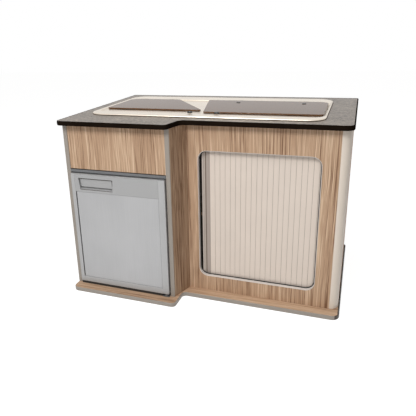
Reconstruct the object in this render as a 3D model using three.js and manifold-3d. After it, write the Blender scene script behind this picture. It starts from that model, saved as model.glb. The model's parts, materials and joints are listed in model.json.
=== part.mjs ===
// Campervan kitchen pod: a plywood cabinet with a compressor fridge on the left, a tambour cupboard
// on the right, and a worktop that carries a stainless sink and hob unit under two glass lids.
// Millimetres, X to the right along the front, Y to the back, Z up from the floor.
import * as THREE from "three";
import Module from "manifold-3d";
import { mergeVertices } from "three/addons/utils/BufferGeometryUtils.js";

const wasm = await Module();
wasm.setup();

// Driving dimensions of the whole pod
const podWidth = 1000;
const podDepth = 660;
const podHeight = 680;
const frontJog = 92;
const bayWidth = 419;
const boardThickness = 15;
const worktopThickness = 16;
const baseThickness = 16;

// Clearances and shared small sizes
const seatGap = 0.3;
const cutOverrun = 2;
const edgingHead = 3;
const edgingOverlap = 2;
const tongueThickness = 2;
const tongueDepth = 8;
const bandThickness = 2;
const arcSteps = 6;
const roundSteps = 28;

// Worktop and base board
const worktopLeftLap = 12;
const worktopRightLap = 7;
const worktopFrontLap = 28;
const baseRightLap = 7;
const baseFrontLap = 46;
const worktopJogPast = 1;
const worktopJogRun = 19;
const baseJogPast = 15;
const baseJogRun = 2;
const jogRadius = 17;
const frontLeftRadius = 22;
const frontRightRadius = 28;
const rearRadius = 10;

// Cabinet
const fridgeTopDrop = 199;
const fridgeStripSpace = 16;
const fridgeTop = podHeight - fridgeTopDrop;
const upperPanelBottom = fridgeTop + fridgeStripSpace;
const stepRun = 30;
const postRadius = 29;
const backThickness = 6;
const railHeight = 100;
const shelfDrop = 370;
const shelfThickness = 12;
const shelfFrontGap = 18;
const shelfTrackGap = 5;

// Cupboard opening, its trim and the tambour
const openingLeftMargin = 70;
const openingRightMargin = 83;
const openingBottomMargin = 59;
const openingTopMargin = 110;
const openingLeft = bayWidth + openingLeftMargin;
const openingRight = podWidth - openingRightMargin;
const openingBottom = baseThickness + openingBottomMargin;
const openingTop = podHeight - openingTopMargin;
const openingRadius = 34;
const trimWall = 2;
const curtainThickness = 6;
const curtainGap = 0.6;
const canvasThickness = 1;
const slatCount = 21;
const curtainTail = 10.8;
const slatGap = 1.6;
const slatNose = 1.6;
const handleWidth = 29.5;
const handleInset = 8;
const handleRidge = 7;
const handleRidgeRise = 3.6;
const trackWall = 4.4;
const trackHeight = 18;
const trackGroove = 8;
const trackLap = 5;
const trackBend = 42;
const trackRearGap = 102.7;

// Sink and hob unit, measured from the front left corner of its rim
const unitLeft = 42;
const unitFront = 113;
const unitRightMargin = 86;
const unitWidth = podWidth - unitLeft - unitRightMargin;
const unitDepth = 467;
const unitRadius = 60;
const rimRise = 6;
const rimLeft = 16;
const rimRight = 8;
const rimFront = 47;
const rimRear = 83;
const rimInnerRadius = 45;
const sheet = 1.2;
const deckRise = 2;
const deckFlange = 5;
const cutoutGap = 0.8;
const lidThickness = 4.4;
const lidTopRise = 8;
const lidSideGap = 4;
const lidRearGap = 9;
const lidRadius = 38;
const lidFrontRadius = 14;
const lidMeetRadius = 8;
const sinkLidFront = 125;
const hobLidFront = 90;
const lidsMeetLead = 51;
const lidsMeet = bayWidth + lidsMeetLead - unitLeft;
const lidsGap = 16;
const sinkLidCutbackShare = 0.4425;
const hobLidCutback = 62;
const lidSealInset = 14;
const lidSealWidth = 6;
const lidSealThickness = 1;
const lidCover = 24;
const bowlPartitionGap = 12;
const ledgeDepth = 38;
const ledgeShare = 0.135;
const bowlStep = 12;
const bowlDepth = 140;
const bowlTaper = 14;
const bowlRadius = 36;
const hobWellDepth = 40;
const hobWellTaper = 5;
const hobWellRadius = 30;

// Hinges of the glass lids, low in the gap between the glass and the rim
const hingeRise = 5;
const hingeAhead = 4.5;
const hingeBarrelRadius = 2.5;
const hingePinRadius = 1.1;
const hingeArmWidth = 13;
const hingePlateThickness = 0.9;
const hingePlateReach = 68;
const hingeEarThickness = 5;
const hingeEarRadius = 3.4;
const hingeRailThickness = 1;
const hingeStudRadius = 3.5;
const hingeStudReach = 60;
const hingeCapRadius = 7.5;
const hingeCapThickness = 1.6;
const sinkHingeShares = [0.15, 0.46];
const hobHingeShares = [0.1825, 0.7906];

// Burners, knobs and tap
const burnerShares = [0.261, 0.7625];
const burnerRadius = 29;
const burnerHeight = 15;
const burnerSkirt = 6;
const burnerChamfer = 2.2;
const burnerCrown = 25;
const burnerCapRadius = 22;
const burnerCapHeight = 5;
const burnerCapEdge = 3;
const burnerCapChamfer = 3.3;
const burnerBore = 9;
const supportBar = 5;
const supportShare = 0.1944;
const supportInner = 20;
const supportRingShare = 0.65;
const supportTopDrop = 3;
const knobSpread = 101;
const knobOffset = 17;
const knobRow = 61;
const knobRadius = 9.5;
const knobHeight = 6;
const knobSkirt = 2.4;
const knobShoulder = 4.8;
const knobShoulderInset = 1.5;
const knobTopInset = 2.8;
const knobTravel = 3;
const knobStandoff = 4.8;
const knobRoof = 1.2;
const spindleRadius = 3;
const spindleDrop = 18;
const tapRadius = 12;
const tapBaseHeight = 13;
const tapHubHeight = 11;
const tapReach = 118;
const tapPipeRadius = 5.5;
const tapNozzleDrop = 6;
const tapSetback = 52;
const wasteRadius = 32;
const wasteBore = 19;
const wasteTailRadius = 22;
const wasteTailLength = 30;
const wasteRise = 2;
const wasteHoleRadius = 3.2;
const wasteHoleCircle = 11;
const wasteHoleCount = 6;

// Fridge
const fridgeSideGap = 5;
const doorProud = 9;
const doorThickness = 35;
const doorBottom = 28;
const doorHingeInset = 12;
const doorHingeSetback = 6;
const doorTopGap = 0.6;
const doorStripLeft = 15;
const doorStripRight = 25;
const doorStripBottom = 22;
const doorStripTop = 2;
const doorPanelInset = 2;
const doorPanelThickness = 6;
const headerHeight = 68;
const pocketLeft = 31;
const pocketWidth = 143;
const pocketBottom = 10;
const pocketHeight = 44;
const pocketDepth = 20;
const pocketWall = 2;
const latchThickness = 3;
const latchHeight = 33;
const latchSetback = 9;
const latchPinRadius = 1.6;
const gasketWidth = 12;
const gasketInset = 18;
const gasketThickness = 7;
const gasketInnerRadius = 6;
const shellWall = 37;
const shellDepth = 410;
const linerThickness = 6;
const linerInset = 14;
const rackHeight = 60;
const rackDepth = 46;
const rackWall = 3;
const rackBase = 20;
const shellSeat = 12;
const flangeStripHeight = 10;
const flangeStripDepth = 30;
const hingeBracketWidth = 26;
const hingeBracketThickness = 2.4;
const doorPinRadius = 3;
const doorBossRadius = 5.4;
const doorPinLength = 11;
const shelfWire = 3;
const shelfWireCount = 10;
const fridgeShelfHeight = 200;
const freezerHeight = 100;
const freezerWall = 3;
const freezerRadius = 14;
const interiorFrontGap = 52;
const compressorRadius = 62;
const compressorHeight = 138;
const compressorDome = 42;
const compressorFlange = 10;
const compressorLip = 5;
const compressorSideGap = 37;
const compressorFrontGap = 25;
const condenserWidth = 150;
const condenserHeight = 300;
const condenserDepth = 34;
const condenserFins = 15;
const condenserFin = 2;

// Places worked out from the driving dimensions
const worktopUnder = podHeight - worktopThickness;
const panelFace = edgingHead + seatGap;
const baseTop = baseThickness + seatGap;
const boardTop = worktopUnder - seatGap;
const bayInner = boardThickness + seatGap;
const partitionLeft = bayWidth - boardThickness;
const rightPanelLeft = podWidth - boardThickness;
const recessFace = frontJog;
const recessBack = recessFace + boardThickness;
const postCentreX = podWidth - postRadius;
const postCentreY = recessFace + postRadius;

// Finishes
function finish(color, roughness, metalness = 0) {
  return new THREE.MeshStandardMaterial({ color, roughness, metalness });
}
const oak = () => finish(0xa98b72, 0.6);
const greyEdge = () => finish(0x96908a, 0.5);
const blackEdge = () => finish(0x1b1512, 0.45);
const stone = () => finish(0x9d938c, 0.55);
const cream = () => finish(0xd6c6b4, 0.5);
const steel = () => finish(0xcfc8be, 0.3, 0.9);
const glass = () => finish(0x8c8070, 0.1);
const silver = () => finish(0xb8b9ba, 0.4, 0.6);
const greyPanel = () => finish(0xadaeb0, 0.5);
const whitePlastic = () => finish(0xe6e6e2, 0.5);
const blackPlastic = () => finish(0x242220, 0.5);
const castIron = () => finish(0x2c2a28, 0.7, 0.4);
const plywood = () => finish(0xb89a70, 0.7);

// Outlines
function offsetCorners(corners, inset) {
  return corners.map(([x, y, radius], index) => {
    const [beforeX, beforeY] = corners[(index + corners.length - 1) % corners.length];
    const [afterX, afterY] = corners[(index + 1) % corners.length];
    const arrive = new THREE.Vector2(x - beforeX, y - beforeY).normalize();
    const leave = new THREE.Vector2(afterX - x, afterY - y).normalize();
    const inwardA = new THREE.Vector2(-arrive.y, arrive.x);
    const inwardB = new THREE.Vector2(-leave.y, leave.x);
    const scale = inset / (1 + inwardA.dot(inwardB));
    const convex = arrive.cross(leave) > 0;
    const newRadius = convex ? radius - inset : radius + inset;
    return [
      x + (inwardA.x + inwardB.x) * scale,
      y + (inwardA.y + inwardB.y) * scale,
      Math.max(newRadius, radius / 4),
    ];
  });
}

function filletOutline(corners) {
  const points = [];
  corners.forEach(([x, y, radius], index) => {
    const corner = new THREE.Vector2(x, y);
    if (radius <= 0) {
      points.push(corner);
      return;
    }
    const [beforeX, beforeY] = corners[(index + corners.length - 1) % corners.length];
    const [afterX, afterY] = corners[(index + 1) % corners.length];
    const back = new THREE.Vector2(beforeX, beforeY).sub(corner).normalize();
    const ahead = new THREE.Vector2(afterX, afterY).sub(corner).normalize();
    const halfAngle = Math.acos(back.dot(ahead)) / 2;
    const reach = radius / Math.tan(halfAngle);
    const start = corner.clone().addScaledVector(back, reach);
    const end = corner.clone().addScaledVector(ahead, reach);
    const toCentre = back.clone().add(ahead).normalize();
    const centre = corner.clone().addScaledVector(toCentre, radius / Math.sin(halfAngle));
    const first = start.sub(centre);
    const last = end.sub(centre);
    const sweep = Math.atan2(first.cross(last), first.dot(last));
    for (let step = 0; step <= arcSteps; step += 1) {
      const turned = first.clone().rotateAround(new THREE.Vector2(), (sweep * step) / arcSteps);
      points.push(turned.add(centre));
    }
  });
  return points;
}

function rectCorners(left, right, front, rear, radius = 0) {
  return [
    [left, front, radius],
    [right, front, radius],
    [right, rear, radius],
    [left, rear, radius],
  ];
}

function arcPoints(centreX, centreY, radius, from, to, steps = arcSteps) {
  const points = [];
  for (let step = 0; step <= steps; step += 1) {
    const angle = from + ((to - from) * step) / steps;
    points.push(new THREE.Vector2(centreX + radius * Math.cos(angle), centreY + radius * Math.sin(angle)));
  }
  return points;
}

// Solids
function box(left, right, front, rear, low, high) {
  const geometry = new THREE.BoxGeometry(right - left, rear - front, high - low);
  return geometry.translate((left + right) / 2, (front + rear) / 2, (low + high) / 2);
}

function prism(outline, low, high) {
  const settings = { depth: high - low, bevelEnabled: false };
  return new THREE.ExtrudeGeometry(new THREE.Shape(outline), settings).translate(0, 0, low);
}

function facePrism(outline, front, rear) {
  const settings = { depth: rear - front, bevelEnabled: false };
  const geometry = new THREE.ExtrudeGeometry(new THREE.Shape(outline), settings);
  return geometry.rotateX(Math.PI / 2).translate(0, rear, 0);
}

function loft(lowOutline, highOutline, low, high) {
  const count = lowOutline.length;
  const positions = [];
  lowOutline.forEach((point) => positions.push(point.x, point.y, low));
  highOutline.forEach((point) => positions.push(point.x, point.y, high));
  const index = [];
  for (let side = 0; side < count; side += 1) {
    const next = (side + 1) % count;
    index.push(side, next, count + next, side, count + next, count + side);
  }
  THREE.ShapeUtils.triangulateShape(lowOutline, []).forEach(([a, b, c]) => index.push(a, c, b));
  THREE.ShapeUtils.triangulateShape(highOutline, []).forEach(([a, b, c]) => {
    index.push(count + a, count + b, count + c);
  });
  const geometry = new THREE.BufferGeometry();
  geometry.setAttribute("position", new THREE.Float32BufferAttribute(positions, 3));
  geometry.setIndex(index);
  return geometry;
}

function turned(profile, steps = roundSteps) {
  const points = profile.map(([radius, rise]) => new THREE.Vector2(radius, rise));
  return new THREE.LatheGeometry(points, steps).rotateX(Math.PI / 2);
}

function rod(radius, low, high, steps = roundSteps) {
  const geometry = new THREE.CylinderGeometry(radius, radius, high - low, steps);
  return geometry.rotateX(Math.PI / 2).translate(0, 0, (low + high) / 2);
}

function rodAlongX(radius, left, right, steps = roundSteps) {
  const geometry = new THREE.CylinderGeometry(radius, radius, right - left, steps);
  return geometry.rotateZ(Math.PI / 2).translate((left + right) / 2, 0, 0);
}

function rodAlongY(radius, front, rear, steps = roundSteps) {
  const geometry = new THREE.CylinderGeometry(radius, radius, rear - front, steps);
  return geometry.translate(0, (front + rear) / 2, 0);
}

function solid(geometry) {
  const bare = geometry.clone();
  bare.deleteAttribute("normal");
  bare.deleteAttribute("uv");
  const merged = mergeVertices(bare);
  const vertProperties = new Float32Array(merged.getAttribute("position").array);
  const triVerts = new Uint32Array(merged.getIndex().array);
  return new wasm.Manifold(new wasm.Mesh({ numProp: 3, vertProperties, triVerts }));
}

function geometryOf(body) {
  const result = body.getMesh();
  const geometry = new THREE.BufferGeometry();
  geometry.setAttribute("position", new THREE.BufferAttribute(result.vertProperties, 3));
  geometry.setIndex(new THREE.BufferAttribute(result.triVerts, 1));
  geometry.computeVertexNormals();
  return geometry;
}

function cut(base, ...tools) {
  return geometryOf(tools.reduce((body, tool) => body.subtract(solid(tool)), solid(base)));
}

function join(...pieces) {
  return geometryOf(pieces.map(solid).reduce((body, piece) => body.add(piece)));
}

// Groups, placed as the assembly is
const pod = new THREE.Group();
const unit = new THREE.Group();
const fridge = new THREE.Group();
const fridgeDoor = new THREE.Group();
pod.add(unit, fridge);
fridge.add(fridgeDoor);
unit.position.set(unitLeft, unitFront, podHeight);
fridge.position.set(boardThickness + fridgeSideGap, 0, 0);

function add(name, geometry, material, parent = pod, place = [0, 0, 0]) {
  const mesh = new THREE.Mesh(geometry, material);
  mesh.name = name;
  mesh.position.set(...place);
  parent.add(mesh);
  return mesh;
}

function steppedCorners(left, right, frontLap, jogPast, jogRun) {
  const front = -frontLap;
  const rear = podDepth;
  const jogLeft = bayWidth + jogPast;
  return [
    [left, front, frontLeftRadius],
    [jogLeft, front, jogRadius],
    [jogLeft + jogRun, front + frontJog, jogRadius],
    [right, front + frontJog, frontRightRadius],
    [right, rear, rearRadius],
    [left, rear, rearRadius],
  ];
}

// Base board with its edging band
function addBase() {
  const right = podWidth + baseRightLap;
  const corners = steppedCorners(0, right, baseFrontLap, baseJogPast, baseJogRun);
  const boardCorners = offsetCorners(corners, bandThickness + seatGap);
  add("base_board", prism(filletOutline(boardCorners), 0, baseThickness), oak());
  const outer = prism(filletOutline(corners), 0, baseThickness);
  const innerOutline = filletOutline(offsetCorners(corners, bandThickness));
  add("base_edging", cut(outer, prism(innerOutline, -cutOverrun, baseThickness + cutOverrun)), greyEdge());
}

// Worktop with its cut-out and its edging band
function addWorktop() {
  const right = podWidth + worktopRightLap;
  const left = -worktopLeftLap;
  const corners = steppedCorners(left, right, worktopFrontLap, worktopJogPast, worktopJogRun);
  const low = worktopUnder;
  const high = podHeight;
  const boardOutline = filletOutline(offsetCorners(corners, bandThickness + seatGap));
  const inset = sheet + cutoutGap;
  const cutout = offsetCorners(rimInnerCorners(), -inset).map(([x, y, radius]) => {
    return [x + unitLeft, y + unitFront, radius];
  });
  const cutoutTool = prism(filletOutline(cutout), low - cutOverrun, high + cutOverrun);
  add("worktop", cut(prism(boardOutline, low, high), cutoutTool), stone());
  const innerOutline = filletOutline(offsetCorners(corners, bandThickness));
  const bandTool = prism(innerOutline, low - cutOverrun, high + cutOverrun);
  add("worktop_edging", cut(prism(filletOutline(corners), low, high), bandTool), blackEdge());
}

// An upright panel in the side planes, with a slot for its edging's tongue
function slottedPanel(left, right, front, rear) {
  const middle = (left + right) / 2;
  const slotHalf = tongueThickness / 2 + seatGap;
  const slotRear = front + tongueDepth + seatGap;
  const outline = [
    [left, front],
    [middle - slotHalf, front],
    [middle - slotHalf, slotRear],
    [middle + slotHalf, slotRear],
    [middle + slotHalf, front],
    [right, front],
    [right, rear],
    [left, rear],
  ];
  return prism(outline.map(([x, y]) => new THREE.Vector2(x, y)), baseTop, boardTop);
}

// A domed edging head over the panel's front edge, with a tongue into its slot
function tongueEdging(left, right, tongueMiddle) {
  const domeWidth = (right - left) / 2;
  const points = [];
  for (let step = 0; step <= arcSteps * 2; step += 1) {
    const angle = Math.PI + (Math.PI * step) / (arcSteps * 2);
    const x = left + domeWidth + domeWidth * Math.cos(angle);
    points.push(new THREE.Vector2(x, edgingHead / 2 + (edgingHead / 2) * Math.sin(angle)));
  }
  points.push(new THREE.Vector2(right, edgingHead));
  points.push(new THREE.Vector2(tongueMiddle + tongueThickness / 2, edgingHead));
  points.push(new THREE.Vector2(tongueMiddle + tongueThickness / 2, edgingHead + tongueDepth));
  points.push(new THREE.Vector2(tongueMiddle - tongueThickness / 2, edgingHead + tongueDepth));
  points.push(new THREE.Vector2(tongueMiddle - tongueThickness / 2, edgingHead));
  points.push(new THREE.Vector2(left, edgingHead));
  return prism(points, baseTop, boardTop);
}

function addSidePanels() {
  const rear = podDepth;
  add("left_side_panel", slottedPanel(0, boardThickness, panelFace, rear), oak());
  const leftEdging = tongueEdging(0, boardThickness + edgingOverlap, boardThickness / 2);
  add("left_panel_edging", leftEdging, greyEdge());
  add("partition_panel", slottedPanel(partitionLeft, bayWidth, panelFace, rear), oak());
  const stepMiddle = partitionLeft + boardThickness / 2;
  const stepEdging = tongueEdging(partitionLeft - edgingOverlap, bayWidth, stepMiddle);
  add("step_edging", stepEdging, greyEdge());
  const fillerLeft = bayWidth + seatGap;
  const fillerRight = bayWidth + stepRun;
  const filler = [
    new THREE.Vector2(fillerLeft, panelFace),
    new THREE.Vector2(fillerRight, recessFace),
    new THREE.Vector2(fillerRight, recessBack),
    new THREE.Vector2(fillerLeft, recessBack),
  ];
  add("step_filler", prism(filler, baseTop, boardTop), oak());
  addRightPanel(rear);
}

// The right side panel and the quarter-round post, which has a tongue into each panel it meets
function addRightPanel(rear) {
  const front = postCentreY + seatGap;
  add("right_side_panel", slottedPanel(rightPanelLeft, podWidth, front, rear), oak());
  const outer = arcPoints(postCentreX, postCentreY, postRadius, -Math.PI / 2, 0, arcSteps * 2);
  const inner = arcPoints(postCentreX, postCentreY, postRadius - boardThickness, 0, -Math.PI / 2);
  const sideMiddle = (rightPanelLeft + podWidth) / 2;
  const frontMiddle = (recessFace + recessBack) / 2;
  const half = tongueThickness / 2;
  const sideTongue = [
    new THREE.Vector2(sideMiddle + half, postCentreY),
    new THREE.Vector2(sideMiddle + half, postCentreY + tongueDepth),
    new THREE.Vector2(sideMiddle - half, postCentreY + tongueDepth),
    new THREE.Vector2(sideMiddle - half, postCentreY),
  ];
  const frontTongue = [
    new THREE.Vector2(postCentreX, frontMiddle + half),
    new THREE.Vector2(postCentreX - tongueDepth, frontMiddle + half),
    new THREE.Vector2(postCentreX - tongueDepth, frontMiddle - half),
    new THREE.Vector2(postCentreX, frontMiddle - half),
  ];
  const outline = [...outer, ...sideTongue, ...inner, ...frontTongue];
  add("corner_post", prism(outline, baseTop, boardTop), cream());
}

// Fronts, back, rail and shelf
function addPanels() {
  const bayRight = partitionLeft - seatGap;
  const upper = box(bayInner, bayRight, panelFace, panelFace + boardThickness, upperPanelBottom, boardTop);
  add("upper_front_panel", upper, oak());
  const railFront = podDepth - boardThickness;
  const rail = box(bayInner, bayRight, railFront, podDepth, boardTop - railHeight, boardTop);
  add("fridge_back_rail", rail, plywood());
  const cupboardLeft = bayWidth + seatGap;
  const cupboardRight = rightPanelLeft - seatGap;
  const backFront = podDepth - backThickness;
  const back = box(cupboardLeft, cupboardRight, backFront, podDepth, baseTop, boardTop);
  add("cupboard_back", back, plywood());
  const shelfRight = trackWallX() - trackHalfWidth() - shelfTrackGap;
  const shelfFront = recessBack + shelfFrontGap;
  const shelfLow = podHeight - shelfDrop;
  const shelf = box(cupboardLeft, shelfRight, shelfFront, backFront - seatGap, shelfLow, shelfLow + shelfThickness);
  add("cupboard_shelf", shelf, oak());
}

function openingOutline(inset) {
  const corners = rectCorners(openingLeft, openingRight, openingBottom, openingTop, openingRadius);
  return filletOutline(offsetCorners(corners, inset));
}

// The cupboard's front with its rounded opening, and the trim that lines it
function addCupboardFront() {
  const left = bayWidth + stepRun + seatGap;
  const right = postCentreX - seatGap;
  const middle = (recessFace + recessBack) / 2;
  const slotHalf = tongueThickness / 2 + seatGap;
  const panel = box(left, right, recessFace, recessBack, baseTop, boardTop);
  const opening = facePrism(openingOutline(0), recessFace - cutOverrun, recessBack + cutOverrun);
  const slotLeft = right - tongueDepth - seatGap;
  const slotRight = right + cutOverrun;
  const slotLow = baseTop - cutOverrun;
  const slotHigh = boardTop + cutOverrun;
  const slot = box(slotLeft, slotRight, middle - slotHalf, middle + slotHalf, slotLow, slotHigh);
  add("cupboard_front", cut(panel, opening, slot), oak());
  const lining = facePrism(openingOutline(seatGap), recessFace, recessBack);
  const bore = facePrism(openingOutline(trimWall), recessFace - cutOverrun, recessBack + cutOverrun);
  add("opening_trim", cut(lining, bore), greyEdge());
}

// Tambour: two bent tracks, the slatted curtain and its leading handle
function trackHalfWidth() {
  return curtainThickness / 2 + curtainGap + trackWall;
}

function trackLineY() {
  return recessBack + seatGap + trackHalfWidth();
}

function trackWallX() {
  return rightPanelLeft - seatGap - trackHalfWidth();
}

function bentStrip(halfWidth, startOverrun, endOverrun) {
  const lineY = trackLineY();
  const wallX = trackWallX();
  const centreX = wallX - trackBend;
  const centreY = lineY + trackBend;
  const startX = openingLeft - trackLap - startOverrun;
  const endY = podDepth - trackRearGap + endOverrun;
  const quarter = -Math.PI / 2;
  return [
    new THREE.Vector2(startX, lineY - halfWidth),
    ...arcPoints(centreX, centreY, trackBend + halfWidth, quarter, 0, arcSteps * 2),
    new THREE.Vector2(wallX + halfWidth, endY),
    new THREE.Vector2(wallX - halfWidth, endY),
    ...arcPoints(centreX, centreY, trackBend - halfWidth, 0, quarter, arcSteps * 2),
    new THREE.Vector2(startX, lineY + halfWidth),
  ];
}

function addTambour() {
  const body = bentStrip(trackHalfWidth(), 0, 0);
  const groove = bentStrip(curtainThickness / 2 + curtainGap, -trackLap / 2, cutOverrun);
  const bottomHigh = openingBottom - trackLap;
  const bottomLow = bottomHigh - trackHeight;
  const topLow = openingTop + trackLap;
  const topHigh = topLow + trackHeight;
  const bottomFloor = bottomHigh - trackGroove;
  const topRoof = topLow + trackGroove;
  const bottomGroove = prism(groove, bottomFloor, bottomHigh + cutOverrun);
  const topGroove = prism(groove, topLow - cutOverrun, topRoof);
  add("bottom_track", cut(prism(body, bottomLow, bottomHigh), bottomGroove), blackPlastic());
  add("top_track", cut(prism(body, topLow, topHigh), topGroove), blackPlastic());

  const low = bottomFloor + curtainGap;
  const high = topRoof - curtainGap;
  const front = trackLineY() - curtainThickness / 2;
  const rear = front + curtainThickness;
  const handleLeft = openingLeft + trimWall + handleInset;
  const handleRight = handleLeft + handleWidth;
  const handleSlab = box(handleLeft, handleRight, front, rear, low, high);
  const ridgeFront = front - handleRidgeRise;
  const ridgeLow = bottomHigh + curtainGap * 4;
  const ridgeHigh = topLow - curtainGap * 4;
  const ridgeRight = handleLeft + handleRidge;
  const ridge = box(handleLeft, ridgeRight, ridgeFront, front + cutOverrun, ridgeLow, ridgeHigh);
  add("tambour_handle", join(handleSlab, ridge), cream());

  const start = handleRight + seatGap;
  const slatPitch = (openingRight + curtainTail - start) / slatCount;
  const canvasFront = rear - canvasThickness;
  const slatWidth = slatPitch - slatGap;
  const outline = [];
  for (let slat = 0; slat < slatCount; slat += 1) {
    const left = start + slat * slatPitch;
    const right = left + slatWidth;
    outline.push(new THREE.Vector2(left, canvasFront));
    outline.push(...arcPoints(left + slatNose, front + slatNose, slatNose, Math.PI, Math.PI * 1.5, 2));
    outline.push(...arcPoints(right - slatNose, front + slatNose, slatNose, -Math.PI / 2, 0, 2));
    outline.push(new THREE.Vector2(right, canvasFront));
  }
  const end = start + slatCount * slatPitch - slatGap;
  outline.push(new THREE.Vector2(end, rear));
  outline.push(new THREE.Vector2(start, rear));
  add("tambour_curtain", prism(outline, low, high), cream());
}

// Sink and hob unit: plan outlines, from the front left corner of its rim
function rimCorners() {
  return rectCorners(0, unitWidth, 0, unitDepth, unitRadius);
}

function rimInnerCorners() {
  const right = unitWidth - rimRight;
  return rectCorners(rimLeft, right, rimFront, unitDepth - rimRear, rimInnerRadius);
}

function sinkLidSpan() {
  return lidsMeet - lidsGap / 2 - rimLeft - lidSideGap;
}

function sinkLidCutback() {
  return sinkLidSpan() * sinkLidCutbackShare;
}

function tapLedgeWidth() {
  return sinkLidSpan() * ledgeShare;
}

function sinkLidCorners() {
  const left = rimLeft + lidSideGap;
  const right = lidsMeet - lidsGap / 2;
  const rear = unitDepth - rimRear - lidRearGap;
  return [
    [left, sinkLidFront, lidFrontRadius],
    [right, sinkLidFront, lidMeetRadius],
    [right - sinkLidCutback(), rear, lidRadius],
    [left, rear, lidRadius],
  ];
}

function hobLidCorners() {
  const left = lidsMeet + lidsGap / 2;
  const right = unitWidth - rimRight - lidSideGap;
  const rear = unitDepth - rimRear - lidRearGap;
  return [
    [left, hobLidFront, lidMeetRadius],
    [right, hobLidFront, lidFrontRadius],
    [right, rear, lidRadius],
    [left - hobLidCutback, rear, lidMeetRadius],
  ];
}

function bowlCorners() {
  const [frontLeft, , , rearLeft] = sinkLidCorners();
  const left = frontLeft[0] + lidCover;
  const front = frontLeft[1] + lidCover;
  const rear = rearLeft[1] - lidCover;
  const right = partitionLeft - unitLeft - bowlPartitionGap;
  const lidDepth = rearLeft[1] - frontLeft[1];
  const cutback = (sinkLidCutback() * (rear - front)) / lidDepth;
  return [
    [left, front, bowlRadius],
    [right, front, bowlRadius],
    [right - cutback, rear, bowlRadius],
    [left, rear, bowlRadius],
  ];
}

function deepBowlCorners() {
  const corners = offsetCorners(bowlCorners(), bowlStep);
  const left = bowlCorners()[0][0] + tapLedgeWidth();
  corners[0][0] = left;
  corners[3][0] = left;
  return corners;
}

function hobWellCorners() {
  return offsetCorners(hobLidCorners(), lidCover).map(([x, y]) => [x, y, hobWellRadius]);
}

function bowlMiddle() {
  const corners = deepBowlCorners();
  const front = corners[0][1];
  const rear = corners[3][1];
  const rearRight = corners[2][0];
  return [(corners[0][0] + (rearRight + corners[1][0]) / 2) / 2, (front + rear) / 2];
}

function knobPlaces() {
  const middle = lidsMeet + knobOffset;
  return [middle - knobSpread / 2, middle + knobSpread / 2];
}

// Raised rim of the unit, a folded frame whose inner lip stands on the pressed deck
function addRim() {
  const corners = rimCorners();
  const innerCorners = rimInnerCorners();
  const under = filletOutline(offsetCorners(corners, sheet));
  const lipOuter = filletOutline(offsetCorners(innerCorners, -sheet));
  const mouth = solid(prism(filletOutline(innerCorners), -cutOverrun, rimRise + cutOverrun));
  const lip = solid(prism(lipOuter, deckRise + seatGap, rimRise));
  const rim = solid(prism(filletOutline(corners), seatGap, rimRise))
    .subtract(solid(prism(under, -cutOverrun, rimRise - sheet)))
    .add(lip)
    .subtract(mouth);
  add("sink_hob_rim", geometryOf(rim), steel(), unit);
}

// One pressed sheet under the rim: deck, sink bowl with a tap ledge, and the hob well
function addTray() {
  const deckOuter = filletOutline(offsetCorners(rimInnerCorners(), -deckFlange));
  const top = deckRise + cutOverrun;
  const deck = solid(prism(deckOuter, deckRise - sheet, deckRise));
  const ledgeOuter = filletOutline(offsetCorners(bowlCorners(), -sheet));
  const ledge = solid(prism(ledgeOuter, -ledgeDepth - sheet, deckRise));
  const deep = deepBowlCorners();
  const floorCorners = offsetCorners(deep, bowlTaper);
  const bowlOuter = solid(
    loft(
      filletOutline(offsetCorners(floorCorners, -sheet)),
      filletOutline(offsetCorners(deep, -sheet)),
      -bowlDepth - sheet,
      -ledgeDepth,
    ),
  );
  const well = hobWellCorners();
  const wellFloor = offsetCorners(well, hobWellTaper);
  const wellOuter = solid(
    loft(
      filletOutline(offsetCorners(wellFloor, -sheet)),
      filletOutline(offsetCorners(well, -sheet)),
      -hobWellDepth - sheet,
      deckRise,
    ),
  );
  const bowlInner = solid(loft(filletOutline(floorCorners), filletOutline(deep), -bowlDepth, -ledgeDepth));
  const ledgeInner = solid(prism(filletOutline(bowlCorners()), -ledgeDepth, top));
  const bowlMouth = solid(prism(filletOutline(deep), -ledgeDepth - cutOverrun / 2, -ledgeDepth + sheet));
  const wellInner = solid(loft(filletOutline(wellFloor), filletOutline(well), -hobWellDepth, deckRise));
  const wellMouth = solid(prism(filletOutline(well), deckRise - sheet / 2, top));
  const [wasteX, wasteY] = bowlMiddle();
  const wasteHole = rod(wasteTailRadius + seatGap, -bowlDepth - sheet - cutOverrun, -bowlDepth + cutOverrun);
  let tray = deck.add(ledge).add(bowlOuter).add(wellOuter);
  tray = tray.subtract(ledgeInner).subtract(bowlMouth).subtract(bowlInner);
  tray = tray.subtract(wellInner).subtract(wellMouth);
  tray = tray.subtract(solid(wasteHole.translate(wasteX, wasteY, 0)));
  knobPlaces().forEach((x) => {
    const hole = rod(spindleRadius + seatGap, deckRise - sheet - cutOverrun, deckRise + cutOverrun);
    tray = tray.subtract(solid(hole.translate(x, knobRow, 0)));
  });
  add("sink_hob_tray", geometryOf(tray), steel(), unit);
}

// Waste fitting with a perforated strainer, seated in the bowl's floor
function addWaste() {
  const low = -sheet - wasteTailLength;
  const flange = wasteRise;
  const body = turned([
    [0, seatGap],
    [wasteBore, seatGap],
    [wasteBore, low],
    [wasteTailRadius, low],
    [wasteTailRadius, seatGap],
    [wasteRadius, seatGap],
    [wasteRadius - flange / 2, flange],
    [0, flange],
  ]);
  const holes = [];
  for (let hole = 0; hole < wasteHoleCount; hole += 1) {
    const angle = (hole * 2 * Math.PI) / wasteHoleCount;
    const bore = rod(wasteHoleRadius, -cutOverrun, flange + cutOverrun, 10);
    holes.push(bore.translate(wasteHoleCircle * Math.cos(angle), wasteHoleCircle * Math.sin(angle), 0));
  }
  const [x, y] = bowlMiddle();
  add("sink_waste", cut(body, ...holes), steel(), unit, [x, y, -bowlDepth]);
}

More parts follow.
